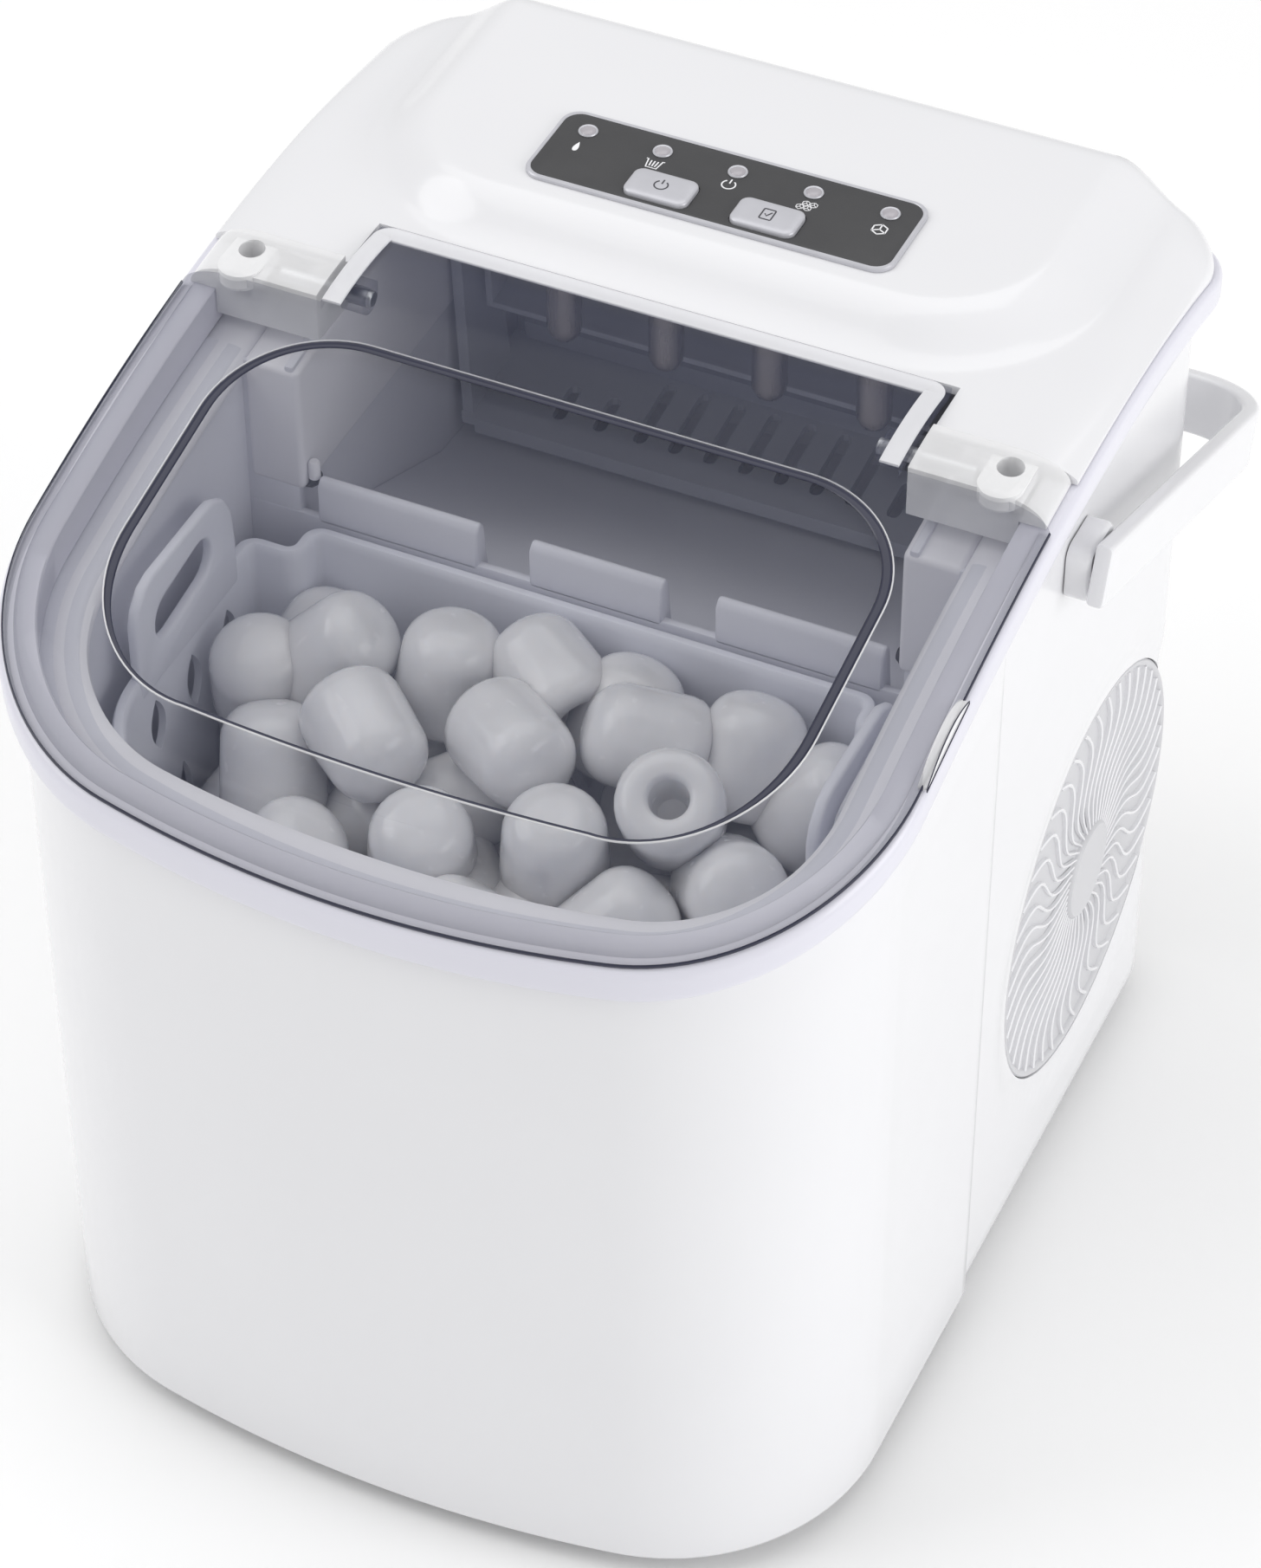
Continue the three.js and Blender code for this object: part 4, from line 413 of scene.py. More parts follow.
# ------------------------------------------------------------------ finishes
def finish(name, colour, rough, patches, grain, stretch=(1, 1, 1), **sockets):
    """A procedural finish. A broad noise drifts the colour darker and lighter: patches is its scale and how
    far it goes. A second one drifts the roughness between its two numbers, and a fine one raises the surface:
    grain is its scale and height. stretch draws the grain out."""
    found = bpy.data.materials.get(name)
    if found:
        return found
    patch, drift = patches
    material = bpy.data.materials.new(name)
    material.use_nodes = True
    nodes, links = material.node_tree.nodes, material.node_tree.links
    shader = nodes["Principled BSDF"]
    place = nodes.new("ShaderNodeTexCoord")
    spread = nodes.new("ShaderNodeMapping")
    spread.inputs["Scale"].default_value = stretch
    links.new(place.outputs["Object"], spread.inputs["Vector"])

    def noise(scale, detail, source):
        texture = nodes.new("ShaderNodeTexNoise")
        texture.inputs["Scale"].default_value = scale
        texture.inputs["Detail"].default_value = detail
        links.new(source, texture.inputs["Vector"])
        return texture.outputs["Fac"]

    ramp = nodes.new("ShaderNodeValToRGB")
    colour = np.array(colour[:3])
    ramp.color_ramp.elements[0].position = 0.3
    ramp.color_ramp.elements[1].position = 0.7
    ramp.color_ramp.elements[0].color = (*np.clip(colour * (1 - drift), 0, 1), 1)
    ramp.color_ramp.elements[1].color = (*np.clip(colour * (1 + drift), 0, 1), 1)
    links.new(noise(patch, 3, place.outputs["Object"]), ramp.inputs["Fac"])
    links.new(ramp.outputs["Color"], shader.inputs["Base Color"])
    span = nodes.new("ShaderNodeMapRange")
    span.inputs["To Min"].default_value = rough[0]
    span.inputs["To Max"].default_value = rough[1]
    links.new(noise(patch * 4, 4, spread.outputs["Vector"]), span.inputs["Value"])
    links.new(span.outputs["Result"], shader.inputs["Roughness"])
    bump = nodes.new("ShaderNodeBump")
    bump.inputs["Strength"].default_value = grain[1]
    bump.inputs["Distance"].default_value = 0.0004
    links.new(noise(grain[0], 4, spread.outputs["Vector"]), bump.inputs["Height"])
    links.new(bump.outputs["Normal"], shader.inputs["Normal"])
    for socket, value in sockets.items():
        shader.inputs[socket.replace("_", " ")].default_value = value
    return material


def glossy_white(context):
    return finish("glossy white plastic", context.scene.ice_colours.body, (0.19, 0.23), (18, 0.006),
                  (900, 0.012), Coat_Weight=0.4, Coat_Roughness=0.08)


def trim_plastic(context):
    return finish("trim plastic", context.scene.ice_colours.trim, (0.27, 0.31), (26, 0.006), (1100, 0.012),
                  Coat_Weight=0.3, Coat_Roughness=0.12)


def tinted_lid(context):
    material = finish("tinted lid", context.scene.ice_colours.tint, (0.03, 0.07), (20, 0.02), (60, 0.01),
                      IOR=1.5)
    edge_weight(material, 0.07, 0.8, 0.2)
    return material


def clear_plastic(context):
    material = finish("clear plastic", context.scene.ice_colours.clear, (0.04, 0.1), (40, 0.01), (90, 0.02),
                      IOR=1.5)
    edge_weight(material, 0.5, 0.98, 0.35)
    return material


def frosted_lip(context):
    material = finish("frosted lip", (0.92, 0.92, 0.95), (0.12, 0.24), (40, 0.02), (300, 0.05))
    edge_weight(material, 0.55, 0.98, 0.4)
    return material


def edge_weight(material, facing, grazing, blend):
    """See-through finish that thickens where the wall is seen edge-on."""
    nodes, links = material.node_tree.nodes, material.node_tree.links
    if nodes.get("Layer Weight"):
        return
    weight = nodes.new("ShaderNodeLayerWeight")
    weight.inputs["Blend"].default_value = blend
    span = nodes.new("ShaderNodeMapRange")
    span.inputs["To Min"].default_value = facing
    span.inputs["To Max"].default_value = grazing
    links.new(weight.outputs["Facing"], span.inputs["Value"])
    links.new(span.outputs["Result"], nodes["Principled BSDF"].inputs["Alpha"])
    material.surface_render_method = "BLENDED"


# Painted refraction: near-black lines where the clear lid's window step, rim edge and grip edge look dark by
# refraction
def painted_refraction_line(context):
    return finish("painted refraction edge", (0.018, 0.02, 0.045), (0.1, 0.2), (60, 0.06), (300, 0.02))


def tub_plastic(context):
    return finish("tub plastic", context.scene.ice_colours.tub, (0.4, 0.55), (24, 0.02), (1100, 0.06))


# The tub's plastic made lighter for the collar and pillars: painted light, standing in for the light that
# reaches them under the lid's clear shoulder
def lit_collar_plastic(context):
    return finish("collar plastic painted lighter", context.scene.ice_colours.collar, (0.3, 0.42), (24, 0.012), (1100, 0.04))


def basket_plastic(context):
    return finish("basket plastic", context.scene.ice_colours.basket, (0.3, 0.45), (24, 0.02), (700, 0.04))


def ice(context):
    return finish("milky ice", context.scene.ice_colours.ice, (0.14, 0.34), (70, 0.05), (160, 0.22),
                  Coat_Weight=0.5, Coat_Roughness=0.1, Subsurface_Weight=0.25,
                  Subsurface_Radius=(0.006, 0.007, 0.008), Subsurface_Scale=1.0)


def nickel(context):
    return finish("nickel plate", (0.46, 0.42, 0.39), (0.2, 0.36), (80, 0.08), (500, 0.05),
                  stretch=(1, 1, 0.1), Metallic=1.0)


def steel(context):
    return finish("zinc-plated steel", (0.55, 0.56, 0.58), (0.25, 0.42), (90, 0.1), (900, 0.08), Metallic=1.0)


def copper(context):
    return finish("copper pipe", (0.72, 0.34, 0.18), (0.22, 0.5), (120, 0.22), (700, 0.05), Metallic=1.0)


def fins(context):
    return finish("aluminium fins", (0.6, 0.61, 0.63), (0.3, 0.5), (60, 0.1), (600, 0.2),
                  stretch=(1, 1, 0.02), Metallic=1.0)


def black_plastic(context):
    return finish("black plastic", (0.022, 0.022, 0.025), (0.35, 0.5), (50, 0.12), (1400, 0.12))


def compressor_paint(context):
    return finish("black enamel", (0.015, 0.015, 0.017), (0.18, 0.35), (70, 0.15), (220, 0.15),
                  Coat_Weight=0.6, Coat_Roughness=0.2)


def rubber(context):
    return finish("rubber", (0.03, 0.03, 0.032), (0.7, 0.9), (90, 0.2), (1800, 0.3))


# Grey of the water tray and shovel, set dark partly as painted shade of the tub's shadowed inside
def grey_plastic_painted_shade(context):
    return finish("grey plastic darkened as shade", context.scene.ice_colours.works, (0.35, 0.5), (36, 0.04), (1000, 0.06))


def grille_plastic(context):
    return finish("grille plastic", context.scene.ice_colours.grille, (0.35, 0.5), (30, 0.015), (900, 0.05))


def panel_film(context):
    return finish("panel film", context.scene.ice_colours.panel, (0.38, 0.5), (140, 0.05), (2600, 0.1))


def button_silver(context):
    return finish("silver lacquer", context.scene.ice_colours.button, (0.28, 0.4), (160, 0.03),
                  (3200, 0.05), Metallic=0.25, Coat_Weight=0.3, Coat_Roughness=0.15)


def lens_plastic(context):
    return finish("lens plastic", (0.42, 0.40, 0.43), (0.15, 0.25), (300, 0.05), (1500, 0.04),
                  Coat_Weight=0.4, Coat_Roughness=0.05)


def print_ink(context):
    return finish("white ink", (0.86, 0.86, 0.88), (0.5, 0.65), (200, 0.02), (3000, 0.1))


def dark_ink(context):
    return finish("dark ink", (0.05, 0.05, 0.06), (0.5, 0.65), (200, 0.05), (3000, 0.1))


def circuit_board(context):
    return finish("circuit board", (0.03, 0.16, 0.06), (0.3, 0.55), (260, 0.35), (700, 0.3))


def foam(context):
    return finish("foam", (0.74, 0.7, 0.58), (0.85, 0.98), (120, 0.08), (700, 0.7))


# ------------------------------------------------------------------ what a user would change
def colour_property(name, description, default):
    return FloatVectorProperty(name=name, description=description, subtype="COLOR", min=0, max=1,
                               default=default)


class IceSizes(bpy.types.PropertyGroup):
    """Sizes of the details that aren't part of the frame."""

    # The window line is painted refraction: a dark bead where the lid's step looks dark
    bead: FloatProperty(
        name="Window line", description="Width of the dark line round the lid's window", default=0.0025,
        min=0.0005, max=0.004, unit="LENGTH")
    dish: FloatProperty(
        name="Fan dish", description="How deep the side is dished round the fan grille", default=0.0009,
        min=0.0, max=0.003, unit="LENGTH")
    fin: FloatProperty(
        name="Grille fin", description="Width of one fin of the fan grille", default=0.0010,
        min=0.0005, max=0.003, unit="LENGTH")
    fin_count: IntProperty(name="Grille fins", description="Number of fins in the fan grille", default=42,
                           min=12, max=90)
    bullet: FloatProperty(
        name="Ice radius", description="Radius of one piece of ice", default=0.0132, min=0.008, max=0.016,
        unit="LENGTH")


class IceColours(bpy.types.PropertyGroup):
    """Colours of the finishes."""

    body: colour_property("Body", "Glossy shell and hood", (0.80, 0.80, 0.82))
    trim: colour_property("Trim", "Band under the lid", (0.72, 0.715, 0.79))
    tint: colour_property("Lid tint", "See-through lid", (0.10, 0.11, 0.17))
    clear: colour_property("Clear", "Hinge blocks and hoses", (0.97, 0.97, 0.98))
    tub: colour_property("Tub", "Inside of the ice maker", (0.75, 0.755, 0.82))
    # The collar's colour is the tub's plastic painted lighter, as painted light
    collar: colour_property("Collar", "Pale rim and pillars of the tub", (0.88, 0.875, 0.92))
    basket: colour_property("Basket", "Ice basket", (0.80, 0.81, 0.88))
    ice: colour_property("Ice", "Pieces of ice", (0.82, 0.82, 0.84))
    # The works colour is set dark partly as painted shade under the lid
    works: colour_property("Works", "Water tray and ice shovel", (0.42, 0.43, 0.48))
    grille: colour_property("Grille", "Fan grille", (0.60, 0.60, 0.62))
    panel: colour_property("Panel", "Film of the control panel", (0.045, 0.045, 0.048))
    button: colour_property("Button", "Buttons and the panel's border", (0.56, 0.56, 0.60))


# ------------------------------------------------------------------ casing
class ICE_OT_front_shell(bpy.types.Operator):
    """Bowed front: a wall section with rounded edges, carried along the plan as far as the side seam"""

    bl_idname = "ice.front_shell"
    bl_label = "Front shell"

    def execute(self, context):
        profile = [(-WALL, 0, 0.4), (-2.0, 0, 0), (-1.2, 0, 0), (-0.5, 0, 0.25), (-0.12, 0, 0.8), (0, 0, 1.6)]
        profile += [(0, share, 0) for share in np.linspace(0.1, 0.9, 9)]
        profile += [(0, 1, -0.9), (-0.15, 1, -0.3), (-0.6, 1, 0), (-WALL, 1, 0), (-WALL, 0.5, 0)]
        shell = wall(profile, lambda y: FOOT + 0 * y, lambda y: sill(y) - GAP, last=SEAM_Y)
        add_piece("front_shell_skin", worked(shell, bevel=0.45), "casing",
                  glossy_white(context), ["front_shell"])
        return {"FINISHED"}


class ICE_OT_rear_shell(bpy.types.Operator):
    """Sides and back: a wall carried round the rear plan, dished round the fan, with slots and holes cut"""

    bl_idname = "ice.rear_shell"
    bl_label = "Rear shell"

    def execute(self, context):
        dish = context.scene.ice_sizes.dish / MM
        outer = -STEP
        inner = -STEP - WALL
        profile = [(inner, 0, 0), (outer - 0.6, 0, 0), (outer - 0.15, 0, 0.25), (outer, 0, 0.9)]
        profile += [(outer, share, 0) for share in np.linspace(0.02, 0.98, 62)]
        profile += [(outer, 1, 0)]
        profile += [(inner, share, 0) for share in np.linspace(1, 0.03, 40)]
        points, faces = wall(profile, lambda y: FOOT + LIFT + 0 * y, lambda y: sill(y) - GAP,
                             first=SEAM_Y + GAP)
        away = np.hypot(points[:, 1] - FAN_Y, points[:, 2] - FAN_Z)
        points[:, 0] -= np.where(points[:, 0] > 100, dish * smooth_step((65.5 - away) / 7.5), 0)
        x0 = HALF - STEP - WALL - 2
        slots = [prism(stadium(y, z - 17, y, z + 17, 2), -HALF - 1, -x0, "x")
                 for y in FAN_Y + SLOT_PITCH * (np.arange(SLOTS) - 4) for z in (FAN_Z - 26, FAN_Z + 26)]
        cutters = [
            turned([(GRILLE_RADIUS + GAP, x0), (GRILLE_RADIUS + GAP, HALF + 1)], (0, FAN_Y, FAN_Z),
                   (1, 0, 0), 96),
            turned([(5.4, -HALF - 1), (5.4, -x0)], (0, 145, 28), (1, 0, 0), 32),
            block(-82, -58, DEPTH - 6, DEPTH + 2, 24, 44),
            joined(*slots),
        ]
        shell = worked((points, faces), cutters=cutters)
        add_piece("rear_shell_skin", shell, "casing", glossy_white(context), ["rear_shell"],
                  28)
        return {"FINISHED"}


class ICE_OT_trim(bpy.types.Operator):
    """Band under the lid and hood: a section bulged outwards and lipped on top, carried round the plan"""

    bl_idname = "ice.trim"
    bl_label = "Trim band"

    def execute(self, context):
        bulge = arc(1.4, 4.2, 3.1, -90, 0, 8, 4.2)
        upper = arc(2.7, 8.2, 1.8, 0, 90, 7, 2.3)
        outside = [(x, 0, z) for x, z in (*bulge, *upper)]
        band = wall([(-5, 0, 0.3), (-4.7, 0, 0), *outside, (-4.6, 1, 0), (-5, 1, -0.4)], sill, band_top)
        add_piece("trim_band", band, "casing", trim_plastic(context), ["trim_frame"], 45)
        return {"FINISHED"}


def hood_grid():
    """Skin of the hood. Across, its shoulder is a quarter ellipse, x by a cosine and z by a sine. Along,
    the last 10 roll over by a quarter circle. The raised top climbs by a smooth step of the distance from
    its outline."""
    rear = DEPTH + 0.5
    roll = rear - HOOD_ROLL
    along = np.concatenate([np.linspace(154, roll, 60),
                            roll + HOOD_ROLL * np.sin(np.radians(np.linspace(6, 90, 15)))])
    past = np.maximum(0, along - (rear - HOOD_CORNER))
    width = (HOOD_HALF - HOOD_CORNER + np.sqrt(np.maximum(0, HOOD_CORNER**2 - past**2)))[:, None]
    shoulder = np.radians(np.linspace(0, 90, 13))
    inward = np.concatenate([
        HOOD_SHOULDER * (1 - np.cos(shoulder)), np.linspace(HOOD_SHOULDER, HOOD_HALF, 60)[1:]
    ])[None]
    edge_share = HOOD_SHOULDER / HOOD_HALF
    across = (width - HOOD_SHOULDER) * (1 - (inward / HOOD_HALF - edge_share) / (1 - edge_share))
    x = np.where(inward <= HOOD_SHOULDER, width - inward, across)
    y = np.broadcast_to(along[:, None], x.shape)
    edge = band_top(y) + 1
    shelf = CREST + 2.9
    climbed = 1 - np.clip((width - x) / HOOD_SHOULDER, 0, 1)
    low = edge + (shelf - edge) * np.sqrt(1 - climbed**2)
    dx = x - (RAISED_HALF - RAISED_CORNER)
    dy = RAISED_Y + RAISED_CORNER - y
    outside = np.hypot(np.maximum(dx, 0), np.maximum(dy, 0)) + np.minimum(np.maximum(dx, dy), 0)
    z = low + (HOOD_TOP - low) * smooth_step(1 - (outside - RAISED_CORNER) / RAISED_SLOPE)
    z = z - (HOOD_ROLL - np.sqrt(np.maximum(0, HOOD_ROLL**2 - np.maximum(0, y - roll) ** 2)))
    z = np.maximum(z, band_top(y) + 0.8)
    right = np.stack([x, y, z], -1)
    left = right[:, :-1] * np.array([-1.0, 1.0, 1.0])
    return np.concatenate([right, left[:, ::-1]], 1)


class ICE_OT_hood(bpy.types.Operator):
    """Hood: its worked-out skin with a skirt down to the band, a wall, the lid's notch and key holes"""

    bl_idname = "ice.hood"
    bl_label = "Hood"

    def execute(self, context):
        grid = hood_grid()

        def skirt(line):
            low = line.copy()
            low[..., 2] = band_top(line[..., 1]) + GAP
            return low

        grid = np.concatenate([skirt(grid[:, :1]), grid, skirt(grid[:, -1:])], 1)
        grid = np.concatenate([grid, skirt(grid[-1:])], 0)
        notch = block(-75.9, 75.9, 100, 171, 200, 300)
        holes = [prism(rounded_box(x - 8.9, 194, x + 8.9, 205.3, 2.9), 255, 290) for x in KEY_X]
        holes += [turned([(2.5, 255), (2.5, 290)], (x, LENS_Y, 0), steps=24) for x in LENS_X]
        cover = worked(skin(grid), thickness=WALL, cutters=[joined(notch, *holes)], bevel=0.5)
        add_piece("hood", cover, "casing", glossy_white(context), ["top_cover"], 40)
        return {"FINISHED"}


# ------------------------------------------------------------------ lid
def lid_grids():
    """The lid's skin in two grids. Rings climb from the rim by a quarter ellipse to the flat's outline,
    and rows run straight across the flat from each of its outline's points to the mirrored one."""
    turn = np.radians(np.linspace(0, 90, 17))
    rings = []
    for angle in turn:
        line = plan(LID_PROUD - LID_SHOULDER * (1 - math.cos(angle)), last=TONGUE_Y)
        rim = band_top(line[:, 1]) + GAP
        z = rim + (lid_height(line[:, 1]) - rim) * math.sin(angle)
        rings.append(np.column_stack([line, z]))
    rings = np.stack(rings)
    right = rings[-1][len(rings[-1]) // 2:]
    across = np.linspace(-1, 1, 41)
    flat = np.stack([
        right[:, :1] * across, np.repeat(right[:, 1:2], 41, 1), np.repeat(right[:, 2:], 41, 1)
    ], -1)
    return rings, flat


def window_line():
    """The window's outline: a shallow parabola in front, elliptic corners, straight sides and rear."""
    front_x = np.linspace(0, 50, 16)
    front = np.stack([front_x, 19.4 + 0.00077 * front_x**2], 1)
    low_corner = arc(50, 61.8, 35.5, -90, 0, 24, 40.5)[1:]
    high_corner = arc(56, 98.6, 29.5, 0, 90, 22, 29)
    line = closed_line(np.concatenate([front, low_corner, high_corner, to_middle(56, 127.6)]))
    return np.column_stack([line, lid_height(line[:, 1])])


class ICE_OT_lid(bpy.types.Operator):
    """Lid: its worked-out skin with a wall, the rear corners cut away, ears, a finger grip and window line,
    whose dark lines are painted refraction beside a painted highlight
    """

    bl_idname = "ice.lid"
    bl_label = "Lid"

    def execute(self, context):
        rings, flat = lid_grids()
        corners = [block(x0, x1, LID_BODY_Y, 300, 150, 300)
                   for x0, x1 in ((-200, -TONGUE_HALF), (TONGUE_HALF, 200))]
        shell = worked(joined(skin(rings), skin(flat)), thickness=WALL, cutters=[joined(*corners)],
                       bevel=0.35)
        top = float(lid_height(HINGE_Y)) - WALL
        eye = arc(HINGE_Y, CREST, 4.2, 180, 360, 20)
        outline = np.concatenate([eye, [[HINGE_Y + 4.2, top], [HINGE_Y - 4.2, top]]])
        bore = turned([(2.4, 60), (2.4, 80)], (0, HINGE_Y, CREST), (1, 0, 0), 24)
        ear = worked(prism(outline, 66.4, 72.4, "x"), cutters=[bore], bevel=0.4)
        reach = np.linspace(-1, 1, 25)
        foot = band_top(74 + 12 * reach) + GAP
        crown = foot + 0.8 + 3.4 * (1 - reach**2)
        lens = np.concatenate([
            np.stack([74 + 12 * reach, foot], 1), np.stack([74 + 12 * reach, crown], 1)[::-1]
        ])
        grip = worked(prism(lens, 110.8, 113.2, "x"), bevel=0.5)
        add_piece("lid_grip", grip, "lid", clear_plastic(context))
        add_piece("lid_shell", joined(shell, both_sides(ear)), "lid",
                  tinted_lid(context), ["lid"], 40)
        # The window bead, the rim's edge line and the grip's outline are painted refraction: dark lines where
        # the clear plastic's steps and edges look dark
        line = window_line()
        width = context.scene.ice_sizes.bead / MM
        thin = 0.36 + 0.64 * smooth_step((line[:, 1] - 24) / 34)
        bead = swept(line, oval(width / 2, 0.42), closed=True, scale=thin)
        edge_line = plan(LID_PROUD, last=LID_BODY_Y - 0.4)
        edge = np.column_stack([edge_line, band_top(edge_line[:, 1]) + GAP + 0.55])
        rim = swept(edge, oval(0.28, 0.55))
        grip_line = np.stack([np.full(50, 113.25), lens[:, 0], lens[:, 1]], 1)
        grip_rim = swept(grip_line, oval(0.15, 0.15, 8), up=(1, 0, 0), closed=True)
        add_piece("lid_refraction_lines", joined(bead, rim, grip_rim), "lid", painted_refraction_line(context))
        # A pale line just outside the window line: a painted highlight
        halo = line.copy()
        outward = np.gradient(line[:, :2], axis=0)[:, ::-1] * np.array([1.0, -1.0])
        outward /= np.linalg.norm(outward, axis=1)[:, None]
        halo[:, :2] = line[:, :2] + outward * (width * 0.5 * thin + 0.2)[:, None]
        pale = swept(halo, oval(0.2, 0.3), closed=True)
        half = TONGUE_HALF - 2.6
        turn_in = arc(half - 2, 166.6 - 2, 2, 0, 90, 6)
        side_y = np.linspace(LID_BODY_Y + 0.5, 164, 14)
        right = np.concatenate([np.stack([np.full(14, half), side_y], 1), turn_in,
                                [[half - 4, 166.6], [0, 166.6]]])
        lip = np.concatenate([right, right[::-1][1:] * np.array([-1.0, 1.0])])
        lip = np.column_stack([lip, lid_height(lip[:, 1]) + 0.15])
        strip = swept(lip, rounded_box(-2.5, -0.4, 2.5, 0.4, 0.35, 3))
        add_piece("lid_highlights", pale, "lid", clear_plastic(context))
        add_piece("lid_lip", strip, "lid", frosted_lip(context))
        return {"FINISHED"}


class ICE_OT_hinges(bpy.types.Operator):
    """Hinge covers, which carry the lid's shoulder on behind it, and their pins and screws"""

    bl_idname = "ice.hinges"
    bl_label = "Hinges"

    def execute(self, context):
        y = np.linspace(COVER_FRONT_Y, COVER_REAR_Y, 9)
        turn = np.radians(np.linspace(0, 90, 15))
        rim = (band_top(y) + GAP)[:, None]
        x = 110.5 - 12.5 * (1 - np.cos(turn))
        top_z = rim + (lid_height(y)[:, None] - rim) * np.sin(turn)
        top = np.stack([np.broadcast_to(x, top_z.shape), np.repeat(y[:, None], 15, 1), top_z], -1)
        inner_x = [76.2, 76.2, 103.7, 103.7]
        inner_z = [lid_height(y), np.full(9, CREST - 10), np.full(9, CREST - 10), band_top(y) + GAP]
        under = np.stack([
            np.stack([np.full(9, inner_x[k]), y, np.asarray(inner_z[k], float)], -1) for k in range(4)
        ], 1)
        loaf = skin(np.concatenate([top, under], 1), wrap_columns=True, caps=True)
        seat = float(band_top(HINGE_Y)) - 3
        well = turned([(3.3, seat), (3.3, seat + 30)], (SCREW_X, HINGE_Y, 0), steps=32)
        lug = np.concatenate([arc(SCREW_X, 141.2, 5.6, 180, 360, 20), [[103.6, 150], [92.4, 150]]])
        crown = float(lid_height(141)) + 0.3
        lug = worked(prism(lug, float(band_top(141)) + 3, crown), cutters=[well], bevel=0.8, segments=3)
        cover = joined(worked(loaf, cutters=[well], bevel=0.5), lug)
        head = [(0, seat - 9), (1.5, seat - 8), (1.5, seat + 0.3), (2.9, seat + 0.3), (3.0, seat + 0.8),
                (2.9, seat + 1.4), (2.3, seat + 2), (0, seat + 2.3)]
        cross = block(96.2, 99.8, 146.6, 147.4, seat + 1, seat + 4)
        cross_too = block(97.6, 98.4, 145.2, 148.8, seat + 1, seat + 4)
        screw = worked(turned(head, (SCREW_X, HINGE_Y, 0), steps=32), cutters=[cross, cross_too])
        pin = turned([(0, 65.4), (1.8, 65.4), (2, 65.6), (2, 89.8), (1.8, 90), (0, 90)], (0, HINGE_Y, CREST),
                     (1, 0, 0), 28)
        for side, mirror in SIDES:
            add_piece(f"hinge_block_{side}", mirror(cover), "casing", clear_plastic(context),
                      [f"hinge_cover_{side}"], 40)
            add_piece(f"hinge_rod_{side}", mirror(pin), "casing", steel(context),
                      [f"hinge_pin_{side}"])
            add_piece(f"hinge_fixing_{side}", mirror(screw), "casing", steel(context),
                      [f"hinge_screw_{side}"])
        return {"FINISHED"}


# ------------------------------------------------------------------ control panel
def stroke(points, width=0.34):
    """A raised line of ink along points in plan."""
    path = np.column_stack([np.asarray(points, float), np.zeros(len(points))])
    return swept(path, np.array([[-0.5, -0.05], [0.5, -0.05], [0.5, 0.05], [-0.5, 0.05]]) * [width, 1])


def moved(part, x, y, z, size=1.0):
    points, faces = part
    return points * np.array([size, size, 1.0]) + np.array([x, y, z]), faces


def power_mark():
    return joined(stroke(arc(0, 0, 1.7, 125, 415, 24)), stroke([(0, 0.5), (0, 2.2)]))


def cube_mark():
    """A cube seen corner-on: a hexagon and three spokes."""
    corners = arc(0, 0, 2.0, 30, 390, 6)
    return joined(*[stroke(corners[i:i + 2]) for i in range(6)],
                  *[stroke([(0, 0), corners[i]]) for i in (1, 3, 5)])


def cluster_mark():
    return joined(*[moved(cube_mark(), x, y, 0, 0.5)
                    for x, y in ((-1.0, -0.8), (1.0, -0.8), (0, 0.9), (2.0, 0.9))])


def basket_mark():
    lines = [[(-2.4, 1.6), (-1.9, 1.6), (-1.4, -1.6), (1.4, -1.6), (1.9, 1.6), (2.4, 1.6)]]
    lines += [[(x, 1.2), (x * 0.8, -1.0)] for x in (-0.9, 0, 0.9)]
    return joined(*[stroke(line) for line in lines])


def drop_mark():
    """A drop: a round below that closes to a point above."""
    turn = np.linspace(0, 2 * math.pi, 25)[:-1]
    outline = np.stack([0.95 * np.sin(turn) * np.sin(turn / 2) ** 1.2, 1.9 * np.cos(turn)], 1)
    return prism(outline, -0.05, 0.05)


def tick_mark():
    box = rounded_box(-1.5, -2, 1.5, 2, 0.3, 3)
    return joined(stroke(np.concatenate([box, box[:1]])), stroke([(-0.7, 0.1), (-0.1, -0.7), (0.9, 1.0)]))


